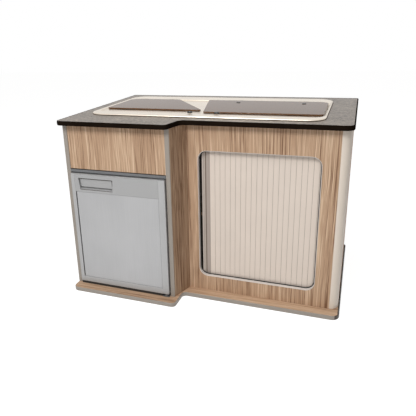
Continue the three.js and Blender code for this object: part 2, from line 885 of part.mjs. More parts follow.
// Low tap on the ledge beside the bowl, whose spout swivels under the closed lid
function addTap() {
  const corners = bowlCorners();
  const x = corners[0][0] + tapLedgeWidth() / 2;
  const y = corners[3][1] - tapSetback;
  const seat = -ledgeDepth + seatGap;
  const base = turned([
    [0, 0],
    [tapRadius + cutOverrun, 0],
    [tapRadius + cutOverrun, cutOverrun],
    [tapRadius, cutOverrun * 2],
    [tapRadius, tapBaseHeight],
    [0, tapBaseHeight],
  ]);
  add("tap_base", base, steel(), unit, [x, y, seat]);
  const hub = rod(tapRadius, 0, tapHubHeight);
  const pipe = rodAlongY(tapPipeRadius, -tapReach, 0, 16).translate(0, 0, tapHubHeight / 2);
  const nozzle = rod(tapPipeRadius, -tapNozzleDrop, tapHubHeight / 2, 16).translate(0, -tapReach, 0);
  const tip = new THREE.SphereGeometry(tapPipeRadius, 16, 10);
  tip.rotateX(Math.PI / 2).translate(0, -tapReach, tapHubHeight / 2);
  const place = [x, y, seat + tapBaseHeight + seatGap];
  add("tap_spout", join(hub, pipe, nozzle, tip), steel(), unit, place);
}

// Burners and their pan supports
function addBurner(side, share) {
  const well = hobWellCorners();
  const left = well[0][0];
  const right = well[1][0];
  const x = left + (right - left) * share;
  const y = (well[0][1] + well[3][1]) / 2;
  const floor = -hobWellDepth + seatGap;
  const base = turned([
    [0, 0],
    [burnerRadius, 0],
    [burnerRadius, burnerSkirt],
    [burnerCrown, burnerSkirt + burnerChamfer],
    [burnerCrown, burnerHeight],
    [burnerBore, burnerHeight],
    [burnerBore, burnerHeight / 2],
    [0, burnerHeight / 2],
  ]);
  add(`burner_ring_${side}`, base, steel(), unit, [x, y, floor]);
  const cap = turned([
    [0, 0],
    [burnerCapRadius, 0],
    [burnerCapRadius, burnerCapEdge],
    [burnerCapRadius - burnerCapChamfer, burnerCapHeight],
    [0, burnerCapHeight],
  ]);
  add(`burner_cap_${side}`, cap, castIron(), unit, [x, y, floor + burnerHeight + seatGap]);
  const supportTop = -supportTopDrop - floor;
  const supportReach = (right - left) * supportShare;
  const supportRing = supportReach * supportRingShare;
  const barLow = supportTop - supportBar;
  const ringOuter = supportRing + supportBar / 2;
  const ringInner = supportRing - supportBar / 2;
  const ring = turned([
    [ringInner, barLow],
    [ringOuter, barLow],
    [ringOuter, supportTop - seatGap],
    [ringInner, supportTop - seatGap],
    [ringInner, barLow],
  ]);
  const pieces = [ring];
  for (let arm = 0; arm < 4; arm += 1) {
    const half = supportBar / 2;
    const bar = box(supportInner, supportReach, -half, half, barLow, supportTop);
    const foot = box(supportReach - supportBar, supportReach, -half, half, 0, supportTop);
    pieces.push(bar.rotateZ((arm * Math.PI) / 2), foot.rotateZ((arm * Math.PI) / 2));
  }
  add(`pan_support_${side}`, join(...pieces), castIron(), unit, [x, y, floor]);
}

// Knobs that push down on their spindles and turn them
function addKnob(side, x) {
  const spindleTop = knobStandoff + knobHeight - knobRoof - knobTravel - seatGap;
  const spindle = rod(spindleRadius, -spindleDrop, spindleTop, 20);
  add(`hob_spindle_${side}`, spindle, steel(), unit, [x, knobRow, deckRise]);
  const bore = spindleRadius + seatGap;
  const knob = turned([
    [0, knobHeight - knobRoof],
    [bore, knobHeight - knobRoof],
    [bore, 0],
    [knobRadius, 0],
    [knobRadius, knobSkirt],
    [knobRadius - knobShoulderInset, knobShoulder],
    [knobRadius - knobTopInset, knobHeight],
    [0, knobHeight],
  ]);
  add(`hob_knob_${side}`, knob, blackPlastic(), unit, [x, knobRow, deckRise + knobStandoff]);
}

// A glass lid with its front seal and two hinge arms, which are bolted through it or bonded to it
function addLid(lidName, corners, hingeShares, bolted) {
  const low = lidTopRise - lidThickness;
  const left = corners[0][0];
  const right = corners[1][0];
  const axisY = unitDepth - rimRear - hingeAhead;
  const places = hingeShares.map((share) => left + (right - left) * share);
  const holeLow = low - cutOverrun;
  const holeHigh = lidTopRise + cutOverrun;
  const holes = places.map((x) => {
    return rod(hingeStudRadius + seatGap, holeLow, holeHigh, 20).translate(x, axisY - hingeStudReach, 0);
  });
  const sheetOfGlass = prism(filletOutline(corners), low, lidTopRise);
  add(`${lidName}_glass`, bolted ? cut(sheetOfGlass, ...holes) : sheetOfGlass, glass(), unit);
  const front = corners[0][1] + lidSealInset;
  const sealHigh = low - seatGap;
  const sealLow = sealHigh - lidSealThickness;
  const sealRight = right - lidRadius;
  const seal = box(left + lidRadius, sealRight, front, front + lidSealWidth, sealLow, sealHigh);
  add(`${lidName}_seal`, seal, blackPlastic(), unit);
  addHingeRail(lidName, places, axisY);
  places.forEach((x, index) => {
    const side = index === 0 ? "left" : "right";
    const arm = hingeArm(low, bolted);
    add(`${lidName}_hinge_arm_${side}`, arm, blackPlastic(), unit, [x, axisY, hingeRise]);
  });
}

// A flat arm under the glass, from the barrel on the hinge axis
function hingeArm(glassLow, bolted) {
  const half = hingeArmWidth / 2;
  const barrel = rodAlongX(hingeBarrelRadius, -half, half, 20);
  const plateHigh = glassLow - seatGap - hingeRise;
  const plateLow = plateHigh - hingePlateThickness;
  const plate = box(-half, half, -hingePlateReach, 0, plateLow, plateHigh);
  const bore = rodAlongX(hingePinRadius + seatGap, -hingeArmWidth, hingeArmWidth, 20);
  let arm = solid(barrel).add(solid(plate));
  if (bolted) {
    const capLow = lidTopRise + seatGap - hingeRise;
    const capHigh = capLow + hingeCapThickness;
    const stud = rod(hingeStudRadius, plateLow, capLow + seatGap, 20);
    const cap = rod(hingeCapRadius, capLow, capHigh, 24);
    arm = arm.add(solid(stud.translate(0, -hingeStudReach, 0)));
    arm = arm.add(solid(cap.translate(0, -hingeStudReach, 0)));
  }
  return geometryOf(arm.subtract(solid(bore)));
}

// The ears that hold the two hinge pins, on a strip that lies on the deck
function addHingeRail(lidName, places, axisY) {
  const low = deckRise + seatGap - hingeRise;
  const rear = hingeAhead - seatGap;
  const stripFront = hingeBarrelRadius + seatGap * 1.5;
  const slotHalf = hingeArmWidth / 2 + seatGap * 2;
  const reach = slotHalf + hingeEarThickness;
  const pinReach = slotHalf + hingeEarThickness / 2;
  const [first, last] = places;
  const span = last - first;
  let body = solid(box(-reach, span + reach, stripFront, rear, low, low + hingeRailThickness));
  [-slotHalf, reach, span - slotHalf, span + reach].forEach((right) => {
    const left = right - hingeEarThickness;
    const ear = rodAlongX(hingeEarRadius, left, right, 20);
    const foot = box(left, right, -hingeEarRadius, rear, low, 0);
    body = body.add(solid(ear)).add(solid(foot));
  });
  [0, span].forEach((place) => {
    body = body.add(solid(rodAlongX(hingePinRadius, place - pinReach, place + pinReach, 20)));
  });
  const belowDeck = box(-reach * 2, span + reach * 2, -hingeEarRadius * 2, rear * 2, low - hingeRise, low);
  const rail = geometryOf(body.subtract(solid(belowDeck)));
  add(`${lidName}_hinge_rail`, rail, steel(), unit, [first, axisY, hingeRise]);
}

// Fridge cabinet in its bay, measured from the left edge of its door
const fridgeWidth = bayWidth - boardThickness * 2 - fridgeSideGap * 2;
const doorFront = -doorProud;
const doorRear = doorFront + doorThickness;
const doorTop = fridgeTop - doorTopGap;
const shellFront = doorRear + gasketThickness + seatGap * 2;
const shellRear = shellFront + shellDepth;
const cavityLeft = shellWall;
const cavityRight = fridgeWidth - shellWall;
const cavityLow = baseTop + shellWall + shellSeat;
const cavityHigh = fridgeTop - shellWall;
const cavityRear = shellRear - shellWall;
const pivotX = fridgeWidth - doorHingeInset;
const pivotY = doorFront + doorHingeSetback;

function addFridgeCabinet() {
  const outer = box(0, fridgeWidth, shellFront, shellRear, baseTop, fridgeTop);
  const cavityFront = shellFront - cutOverrun;
  const cavity = box(cavityLeft, cavityRight, cavityFront, cavityRear, cavityLow, cavityHigh);
  add("fridge_cabinet", cut(outer, cavity), whitePlastic(), fridge);
  const stripSpan = bayWidth - boardThickness * 2 - edgingOverlap * 2 - seatGap * 2;
  const stripLeft = (fridgeWidth - stripSpan) / 2;
  const stripLow = fridgeTop + (upperPanelBottom - fridgeTop - flangeStripHeight) / 2 + seatGap;
  const stripHigh = stripLow + flangeStripHeight;
  const strip = box(stripLeft, stripLeft + stripSpan, 0, flangeStripDepth, stripLow, stripHigh);
  add("fridge_top_strip", strip, greyPanel(), fridge);
  const inner = seatGap;
  const interiorFront = shellFront + interiorFrontGap;
  const plateFront = interiorFront - cutOverrun;
  const freezerLow = cavityHigh - freezerHeight;
  const freezerCorners = rectCorners(cavityLeft + inner, cavityRight - inner, freezerLow, cavityHigh - inner);
  const roundCorners = freezerCorners.map(([x, z]) => [x, z, freezerRadius]);
  const freezerRear = cavityRear - inner;
  const freezer = facePrism(filletOutline(roundCorners), interiorFront, freezerRear);
  const freezerBore = filletOutline(offsetCorners(roundCorners, freezerWall));
  const freezerTool = facePrism(freezerBore, plateFront, freezerRear - freezerWall);
  add("freezer_box", cut(freezer, freezerTool), silver(), fridge);
  addFridgeShelf(interiorFront);
  addCoolingSet();
}

// Wire shelf: a frame with cross wires
function addFridgeShelf(front) {
  const left = cavityLeft + seatGap;
  const right = cavityRight - seatGap;
  const rear = cavityRear - seatGap;
  const high = fridgeShelfHeight + shelfWire;
  const plate = box(left, right, front, rear, fridgeShelfHeight, high);
  const pitch = (right - left - shelfWire) / shelfWireCount;
  const tools = [];
  for (let gap = 0; gap < shelfWireCount; gap += 1) {
    const gapLeft = left + shelfWire + gap * pitch;
    const gapRight = gapLeft + pitch - shelfWire;
    const low = fridgeShelfHeight - cutOverrun;
    tools.push(box(gapLeft, gapRight, front + shelfWire, rear - shelfWire, low, high + cutOverrun));
  }
  add("fridge_shelf", cut(plate, ...tools), steel(), fridge);
}

// Compressor on the base board and a finned condenser on the back of the cabinet
function addCoolingSet() {
  const bodyRadius = compressorRadius - compressorLip;
  const compressor = turned([
    [0, 0],
    [compressorRadius, 0],
    [compressorRadius, compressorFlange],
    [bodyRadius, compressorFlange + compressorLip],
    [bodyRadius, compressorHeight - compressorDome],
    [bodyRadius - compressorDome / 3, compressorHeight - compressorDome / 4],
    [bodyRadius / 3, compressorHeight],
    [0, compressorHeight],
  ]);
  const compressorX = fridgeWidth - compressorRadius - compressorSideGap;
  const compressorY = shellRear + compressorRadius + compressorFrontGap;
  add("compressor", compressor, blackPlastic(), fridge, [compressorX, compressorY, baseTop]);
  const front = shellRear + seatGap;
  const spine = condenserDepth / 4;
  const finPitch = (condenserWidth - condenserFin) / (condenserFins - 1);
  const outline = [new THREE.Vector2(0, 0), new THREE.Vector2(condenserWidth, 0)];
  for (let fin = condenserFins - 1; fin >= 0; fin -= 1) {
    const left = fin * finPitch;
    outline.push(new THREE.Vector2(left + condenserFin, condenserDepth));
    outline.push(new THREE.Vector2(left, condenserDepth));
    if (fin > 0) {
      outline.push(new THREE.Vector2(left, spine));
      outline.push(new THREE.Vector2(left - finPitch + condenserFin, spine));
    }
  }
  const condenserLeft = shellWall;
  const place = [condenserLeft, front, baseTop];
  add("condenser", prism(outline, 0, condenserHeight), silver(), fridge, place);
}

// Fridge door: frame, infill panel, header with a finger pocket, latch, gasket, liner and hinge pins
function addFridgeDoor() {
  const recessLeft = doorStripLeft;
  const recessRight = fridgeWidth - doorStripRight;
  const recessLow = doorBottom + doorStripBottom;
  const recessHigh = doorTop - doorStripTop;
  const recessRear = doorFront + doorPanelInset + doorPanelThickness;
  const headerLow = recessHigh - headerHeight;
  const cupLow = headerLow + pocketBottom - pocketWall;
  const cupHigh = cupLow + pocketHeight + pocketWall * 2;
  const cupLeft = pocketLeft - pocketWall;
  const cupRight = pocketLeft + pocketWidth + pocketWall;
  const cupRear = doorFront + pocketDepth;
  const slab = box(0, fridgeWidth, doorFront, doorRear, doorBottom, doorTop);
  const beyond = doorFront - cutOverrun;
  const recess = box(recessLeft, recessRight, beyond, recessRear, recessLow, recessHigh);
  const gap = seatGap;
  const cupTool = box(cupLeft - gap, cupRight + gap, beyond, cupRear + gap, cupLow - gap, cupHigh + gap);
  const boreRadius = doorPinRadius + seatGap;
  const boreDepth = doorPinLength + seatGap * 2;
  const lowBore = rod(boreRadius, doorBottom - cutOverrun, doorBottom + boreDepth, 20);
  const highBore = rod(boreRadius, doorTop - boreDepth, doorTop + cutOverrun, 20);
  lowBore.translate(pivotX, pivotY, 0);
  highBore.translate(pivotX, pivotY, 0);
  add("fridge_door_frame", cut(slab, recess, cupTool, lowBore, highBore), silver(), fridgeDoor);

  const panelFront = doorFront + doorPanelInset;
  const panelRear = recessRear - gap;
  const panelHigh = headerLow - gap;
  const panel = box(recessLeft + gap, recessRight - gap, panelFront, panelRear, recessLow + gap, panelHigh);
  add("fridge_door_panel", panel, greyPanel(), fridgeDoor);

  const headerFront = doorFront + gap;
  const plate = box(recessLeft + gap, recessRight - gap, headerFront, panelRear, headerLow, recessHigh - gap);
  const cup = box(cupLeft, cupRight, headerFront, cupRear, cupLow, cupHigh);
  const wall = pocketWall;
  const mouthRear = cupRear - wall;
  const mouth = box(cupLeft + wall, cupRight - wall, beyond, mouthRear, cupLow + wall, cupHigh - wall);
  const latchAxisY = doorFront + latchSetback;
  const latchAxisZ = cupHigh - wall - latchPinRadius - seatGap * 2;
  const pinBore = rodAlongX(latchPinRadius + gap, cupLeft + wall / 2, cupRight - wall / 2, 16);
  pinBore.translate(0, latchAxisY, latchAxisZ);
  const header = solid(plate).add(solid(cup)).subtract(solid(mouth)).subtract(solid(pinBore));
  add("fridge_door_header", geometryOf(header), greyPanel(), fridgeDoor);

  const latchLeft = cupLeft + wall + gap * 2;
  const latchRight = cupRight - wall - gap * 2;
  const half = latchThickness / 2;
  const paddle = box(latchLeft, latchRight, -half, half, -latchHeight, 0);
  const pin = rodAlongX(latchPinRadius, cupLeft + wall / 2 + gap, cupRight - wall / 2 - gap, 16);
  add("fridge_latch", join(paddle, pin), silver(), fridgeDoor, [0, latchAxisY, latchAxisZ]);
  addDoorSeals();
  addDoorHinges();
}

function addDoorSeals() {
  const left = gasketInset;
  const right = pivotX;
  const low = doorBottom + gasketInset;
  const high = doorTop - gasketInset;
  const front = doorRear + seatGap;
  const rear = front + gasketThickness;
  const ring = filletOutline(rectCorners(left, right, low, high, gasketWidth));
  const hole = rectCorners(left, right, low, high, gasketWidth + gasketInnerRadius);
  const bore = filletOutline(offsetCorners(hole, gasketWidth));
  const borePrism = facePrism(bore, front - cutOverrun, rear + cutOverrun);
  add("fridge_door_gasket", cut(facePrism(ring, front, rear), borePrism), greyPanel(), fridgeDoor);
  const linerLeft = cavityLeft + linerInset;
  const linerRight = cavityRight - linerInset;
  const linerLow = cavityLow + linerInset;
  const linerHigh = cavityHigh - linerInset;
  const plate = box(linerLeft, linerRight, front, front + linerThickness, linerLow, linerHigh);
  const rackLow = linerLow + rackBase;
  const rackHigh = rackLow + rackHeight;
  const rackRear = front + linerThickness + rackDepth;
  const rackLeft = linerLeft + rackWall * 2;
  const rackRight = linerRight - rackWall * 2;
  const rack = box(rackLeft, rackRight, front, rackRear, rackLow, rackHigh);
  const bin = box(
    rackLeft + rackWall,
    rackRight - rackWall,
    front + linerThickness,
    rackRear - rackWall,
    rackLow + rackWall,
    rackHigh + cutOverrun,
  );
  const liner = solid(plate).add(solid(rack)).subtract(solid(bin));
  add("fridge_door_liner", geometryOf(liner), whitePlastic(), fridgeDoor);
}

function addDoorHinges() {
  const left = pivotX - hingeBracketWidth / 2;
  const right = pivotX + doorHingeInset;
  const front = pivotY - doorPinRadius * 2 + seatGap;
  const topLow = fridgeTop + seatGap;
  const topHigh = topLow + hingeBracketThickness;
  const topPlate = box(left, right, front, shellFront + hingeBracketWidth, topLow, topHigh);
  const topPin = rod(doorPinRadius, doorTop - doorPinLength, topLow + cutOverrun / 2, 20);
  topPin.translate(pivotX, pivotY, 0);
  add("fridge_hinge_top", join(topPlate, topPin), steel(), fridge);
  const lowPlate = box(left, right, front, shellFront - seatGap, baseTop, baseTop + hingeBracketThickness);
  const bossHigh = doorBottom - seatGap;
  const boss = rod(doorBossRadius, baseTop, bossHigh, 20);
  const lowPin = rod(doorPinRadius, baseTop, doorBottom + doorPinLength, 20);
  boss.translate(pivotX, pivotY, 0);
  lowPin.translate(pivotX, pivotY, 0);
  add("fridge_hinge_bottom", join(lowPlate, boss, lowPin), steel(), fridge);
}

addBase();
addSidePanels();
addPanels();
addCupboardFront();
addTambour();
addWorktop();
addRim();
addTray();
addWaste();
addTap();
["left", "right"].forEach((side, index) => {
  addBurner(side, burnerShares[index]);
  addKnob(side, knobPlaces()[index]);
});
addLid("sink_lid", sinkLidCorners(), sinkHingeShares, false);
addLid("hob_lid", hobLidCorners(), hobHingeShares, true);
addFridgeCabinet();
addFridgeDoor();

// The origin lies on the floor, under the middle of the pod's outer box
const middleX = (podWidth + worktopRightLap - worktopLeftLap) / 2;
const middleY = (podDepth - baseFrontLap) / 2;
pod.position.set(-middleX, -middleY, 0);

export default pod;
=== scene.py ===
"""Campervan kitchen pod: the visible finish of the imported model.

Pieces are modelled in millimetres from the pod's front left corner at floor level, as the solids
are, and are placed in the model's frame, in metres, when they are finished.
"""

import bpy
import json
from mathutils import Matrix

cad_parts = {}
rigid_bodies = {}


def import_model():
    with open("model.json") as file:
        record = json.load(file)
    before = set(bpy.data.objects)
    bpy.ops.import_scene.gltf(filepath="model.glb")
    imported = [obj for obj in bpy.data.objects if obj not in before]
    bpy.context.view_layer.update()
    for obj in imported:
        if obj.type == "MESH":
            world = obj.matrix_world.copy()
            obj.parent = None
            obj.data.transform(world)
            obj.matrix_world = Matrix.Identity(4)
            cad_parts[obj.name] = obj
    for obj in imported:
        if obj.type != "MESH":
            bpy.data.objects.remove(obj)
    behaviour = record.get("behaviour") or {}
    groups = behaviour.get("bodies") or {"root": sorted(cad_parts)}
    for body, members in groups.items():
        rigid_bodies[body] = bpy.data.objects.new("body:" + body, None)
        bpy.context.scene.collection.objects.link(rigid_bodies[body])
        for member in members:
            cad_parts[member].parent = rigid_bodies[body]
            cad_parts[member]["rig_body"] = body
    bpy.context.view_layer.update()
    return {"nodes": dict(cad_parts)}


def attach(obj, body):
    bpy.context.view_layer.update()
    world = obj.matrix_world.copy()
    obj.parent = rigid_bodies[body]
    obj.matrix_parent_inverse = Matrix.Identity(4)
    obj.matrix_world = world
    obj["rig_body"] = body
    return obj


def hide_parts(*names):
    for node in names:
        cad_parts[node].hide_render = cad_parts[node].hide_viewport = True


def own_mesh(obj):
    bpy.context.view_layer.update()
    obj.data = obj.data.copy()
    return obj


bl_info = {
    "name": "Campervan kitchen pod",
    "version": (1, 0, 0),
    "blender": (4, 5, 0),
    "location": "3D View > Sidebar > Kitchen pod",
    "description": "Finishes a campervan kitchen pod with a fridge, tambour cupboard, sink and hob",
    "category": "Object",
}

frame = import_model()

import json
import math

import bmesh
import bpy
from bpy.props import FloatProperty, FloatVectorProperty, PointerProperty
from bpy.types import Operator, Panel, PropertyGroup
from mathutils import Matrix, Vector

# Where the solids' own origin lies in the model's frame
ORIGIN = Vector((497.5, 307.0, 0.0))
PLACE = Matrix.Scale(0.001, 4) @ Matrix.Translation(-ORIGIN)
BACK = PLACE.inverted()

# Distances within which points are one: in millimetres in a piece, in metres in a solid's mesh
JOIN = 0.001
SOLID_JOIN = 0.00001

# Angles in degrees: from which an edge is rounded, up to which faces look smooth, and below
# which a solid's faces are one
SOFTEN_ANGLE = 32
SMOOTH_ANGLE = 34
FLAT_ANGLE = 0.6

# Steps in an outline's round corner and in a bar's bend
CORNER_STEPS = 10
BEND_STEPS = 5


def linear(*levels):
    """A linear colour from sRGB levels of 0 to 255."""
    made = []
    for level in levels:
        share = level / 255
        made.append(share / 12.92 if share <= 0.04045 else ((share + 0.055) / 1.055) ** 2.4)
    return tuple(made)


def colour(name, text, *levels):
    """A colour setting."""
    default = linear(*levels)
    return FloatVectorProperty(
        name=name, description=text, subtype="COLOR", min=0, max=1, default=default
    )


def length(name, text, value):
    """A length setting, given here in millimetres."""
    return FloatProperty(name=name, description=text, unit="LENGTH", min=0, default=value / 1000)


def angle(name, text, value):
    """An angle setting, given here in degrees."""
    default = math.radians(value)
    return FloatProperty(name=name, description=text, subtype="ANGLE", default=default)


def amount(name, text, value):
    """A plain number setting."""
    return FloatProperty(name=name, description=text, min=0, default=value)


class PodFinishes(PropertyGroup):
    """Colours of the pod's materials."""

    oak_dark: colour("Oak streaks", "Darkest grain of the oak laminate", 122, 90, 66)
    oak_mid: colour("Oak middle", "Main tone of the oak laminate", 182, 150, 122)
    oak_light: colour("Oak light", "Lightest grain of the oak laminate", 212, 184, 156)
    # Painted shade: the base board's right end, past the right side, is darkened as if in shadow.
    painted_shade_oak_end: colour("Oak end", "Right end of the base board", 52, 42, 34)
    laminate: colour("Worktop", "Ground of the speckled worktop laminate", 132, 122, 112)
    laminate_fleck: colour("Worktop flecks", "Dark flecks in the worktop laminate", 52, 45, 39)
    black_edge: colour("Worktop edge", "Black edging of the worktop", 27, 20, 15)
    grey_edge: colour("Grey edging", "Edging of the side panels and base", 150, 142, 133)
    # Painted shade: this dark edging is the base's right side shown as if in shadow.
    painted_shade_edge: colour("Dark edging", "Edging of the base along its right side", 62, 52, 42)
    trim: colour("Opening trim", "Trim that lines the cupboard's opening", 212, 204, 197)
    cream: colour("Cream", "Round corner post", 226, 214, 200)
    grip: colour("Handle grip", "Raised grip of the tambour's handle", 182, 170, 160)
    # Painted shade beside the grip: a dark strip stands for a groove; between slats it is the
    # backing seen in the gaps.
    groove: colour("Handle groove", "Groove beside the grip, and gaps between slats", 112, 98, 86)
    slat: colour("Slats", "Slats of the tambour", 219, 206, 194)
    taupe: colour("Taupe", "Flat of the tambour's handle", 166, 153, 144)
    steel: colour("Steel", "Pressed stainless steel", 224, 213, 198)
    glass: colour("Glass", "Tint of the glass lids", 124, 88, 58)
    silver: colour("Silver", "Frame of the fridge door", 175, 175, 175)
    panel: colour("Door panel", "Infill of the fridge door", 177, 177, 178)
    flange: colour("Fridge strip", "Strip above the fridge door", 112, 113, 115)
    header: colour("Door header", "Header of the fridge door", 165, 165, 165)
    ply: colour("Plywood", "Bare birch plywood", 205, 174, 130)
    white: colour("White", "Fridge lining", 232, 232, 228)
    # Also painted shade: the dark boxes in the burners' ports and the rail under the fridge door.
    black: colour("Black plastic", "Knobs and tracks", 38, 36, 34)
    rubber: colour("Grey rubber", "Door gasket", 150, 150, 150)
    # Also painted shade: the opening's lip, the bead beside the door's infill and the discs in the
    # strainer's holes.
    black_rubber: colour("Black rubber", "Lid seals and the opening's lip", 24, 23, 22)
    # Partly painted shade: the bead round the sink also paints the rim's shadow, and the door's
    # dark seams are painted shade.
    sealant: colour("Sealant", "Bead round the sink and dark seams of the door", 58, 48, 40)
    enamel: colour("Black enamel", "Compressor shell", 26, 26, 28)
    iron: colour("Cast iron", "Pan supports and burner caps", 44, 42, 40)
    mark: colour("Knob mark", "Pointer marks of the knobs", 235, 233, 228)


class PodSizes(PropertyGroup):
    """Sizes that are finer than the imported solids."""

    arris: length("Board arris", "Radius of the boards' edges", 0.7)
    band_round: length("Band radius", "Radius of the worktop's edging", 3.2)
    slat_gap: length("Slat gap", "Groove between two slats", 0.7)
    slat_round: length("Slat radius", "Radius of a slat's front edges", 0.4)
    slat_crown: length("Slat crown", "Rise of a slat's middle over its edges", 0.12)
    lid_round: length("Lid radius", "Radius of the lids' ground edges", 1.2)
    press_radius: length("Press radius", "Radius of the tray's pressed edges", 2.4)
    tray_sheet: length("Tray sheet", "Thickness of the pressed steel", 1.1)


class PodStage(PropertyGroup):
    """Camera and light."""

    eye_x: length("Eye X", "The camera's place across the pod", 1009.7)
    eye_back: length("Eye back", "How far the camera stands before the pod", 1479.2)
    eye_z: length("Eye Z", "The camera's height over the floor", 984.7)
    yaw: angle("Yaw", "Turn to the left", 21.6)
    pitch: angle("Pitch", "Tilt down", 18.9)
    roll: angle("Roll", "Lean of the picture", -2.2)
    lens: amount("Lens", "Focal length in millimetres on the sensor", 41.5)
    centre_x: amount("Centre X", "Where the lens looks in the picture, in pixels", 172.1)
    centre_y: amount("Centre Y", "Where the lens looks, in pixels from the top", 191.6)
    ambient: amount("Ambient", "Strength of the room's even light", 0.26)
    key: amount("Key lamp", "Power of the large lamp at the front, in watts", 57)
    top: amount("Top lamp", "Power of the lamp overhead, in watts", 30)
    low: amount("Low lamp", "Power of the low lamp at the front, in watts", 1.5)


def size(name):
    """A size setting in millimetres."""
    return getattr(bpy.context.scene.pod_sizes, name) * 1000


# Outlines and shapes


def rectangle(left, right, low, high, radius):
    """Corners of a rectangle with one radius."""
    return [(left, low, radius), (right, low, radius), (right, high, radius), (left, high, radius)]


def inset_corners(corners, inset):
    """The same outline moved inwards, its round corners with it."""
    made = []
    for index, (across, along, radius) in enumerate(corners):
        here = Vector((across, along))
        before = here - Vector(corners[index - 1][:2])
        after = Vector(corners[(index + 1) % len(corners)][:2]) - here
        before.normalize()
        after.normalize()
        normals = Vector((-before.y, before.x)), Vector((-after.y, after.x))
        shift = (normals[0] + normals[1]) * (inset / (1 + normals[0].dot(normals[1])))
        turn = before.x * after.y - before.y * after.x
        grown = radius - inset if turn > 0 else radius + inset
        made.append((across + shift.x, along + shift.y, max(grown, radius / 4)))
    return made


def round_edges(bm, edges, radius, steps):
    """Bevels edges to a round."""
    bmesh.ops.bevel(
        bm, geom=edges, offset=radius, offset_type="OFFSET", segments=steps, profile=0.5,
        affect="EDGES", material=-1, clamp_overlap=True,
    )


def round_corners(bm, verts, reach, steps):
    """Bevels corners to a round that starts at the given reach along their sides."""
    bmesh.ops.bevel(
        bm, geom=verts, offset=reach, offset_type="ABSOLUTE", segments=steps, profile=0.5,
        affect="VERTICES", material=-1, clamp_overlap=False,
    )


def rounded_loop(corners):
    """Points of a closed outline with its corners rounded."""
    shape = bmesh.new()
    verts = [shape.verts.new((across, along, 0)) for across, along, radius in corners]
    shape.faces.new(verts)
    for index, (across, along, radius) in enumerate(corners):
        here = Vector((across, along))
        before = Vector(corners[index - 1][:2]) - here
        after = Vector(corners[(index + 1) % len(corners)][:2]) - here
        reach = radius / math.tan(before.angle(after) / 2)
        round_corners(shape, [verts[index]], reach, CORNER_STEPS)
    shape.faces.ensure_lookup_table()
    points = [vert.co.xy for vert in shape.faces[0].verts]
    shape.free()
    return points


def around(bm, loop):
    """The edges of a closed loop of vertices."""
    return [bm.edges.get((loop[index - 1], loop[index])) for index in range(len(loop))]


def next_loop(bm, loop, places):
    """Extrudes a closed loop to the places, or starts one there."""
    if not loop:
        verts = [bm.verts.new(place) for place in places]
        for index in range(len(verts)):
            bm.edges.new((verts[index - 1], verts[index]))
        return verts
    made = set(bmesh.ops.extrude_edge_only(bm, edges=around(bm, loop))["geom"])
    following = []
    for vert, place in zip(loop, places):
        ends = [line.other_vert(vert) for line in vert.link_edges]
        fresh = next(end for end in ends if end in made)
        fresh.co = place
        following.append(fresh)
    return following


def layered(bm, corners, profile, level, upright=False, closed=False, start=None):
    """A skin over rounded loops, one for each (inset, rise over the level) of the profile."""
    loops = []
    loop = start
    for inset, rise in profile:
        places = [
            (point.x, level + rise, point.y) if upright else (point.x, point.y, level + rise)
            for point in rounded_loop(inset_corners(corners, inset))
        ]
        loop = next_loop(bm, loop, places)
        loops.append(loop)
    if closed:
        loop = next_loop(bm, loop, [vert.co.copy() for vert in loops[0]])
        bmesh.ops.remove_doubles(bm, verts=loops[0] + loop, dist=JOIN)
    return loops


def block(bm, left, right, front, rear, low, high, edge, steps):
    """A box with rounded edges."""
    made = bmesh.ops.create_cube(bm, size=1)["verts"]
    bmesh.ops.scale(bm, vec=(right - left, rear - front, high - low), verts=made)
    middle = ((left + right) / 2, (front + rear) / 2, (low + high) / 2)
    bmesh.ops.translate(bm, vec=middle, verts=made)
    round_edges(bm, list({line for vert in made for line in vert.link_edges}), edge, steps)


def raised(bm, corners, reach):
    """A bar from the corners of its end face; returns the end face's vertices."""
    verts = [bm.verts.new(corner) for corner in corners]
    face = bm.faces.new(verts)
    made = bmesh.ops.extrude_face_region(bm, geom=[face])["geom"]
    far = [item for item in made if isinstance(item, bmesh.types.BMVert)]
    bmesh.ops.translate(bm, vec=reach, verts=far)
    return verts


def turned(bm, profile, centre, steps=32):
    """A profile of (radius, rise) points spun round an upright axis."""
    others = set(bm.verts)
    verts = [bm.verts.new((radius, 0, rise)) for radius, rise in profile]
    edges = [bm.edges.new(pair) for pair in zip(verts, verts[1:])]
    bmesh.ops.spin(
        bm, geom=verts + edges, cent=(0, 0, 0), axis=(0, 0, 1), angle=math.tau, steps=steps,
        use_merge=True, use_duplicate=False,
    )
    fresh = [vert for vert in bm.verts if vert not in others]
    bmesh.ops.translate(bm, vec=centre, verts=fresh)
    bmesh.ops.remove_doubles(bm, verts=fresh, dist=JOIN)


def ring_of(count, radius, centre):
    """Places evenly round a centre."""
    middle = Vector(centre)
    spoke = Vector((radius, 0, 0))
    turns = [Matrix.Rotation(index * math.tau / count, 3, "Z") for index in range(count)]
    return [middle + turn @ spoke for turn in turns]


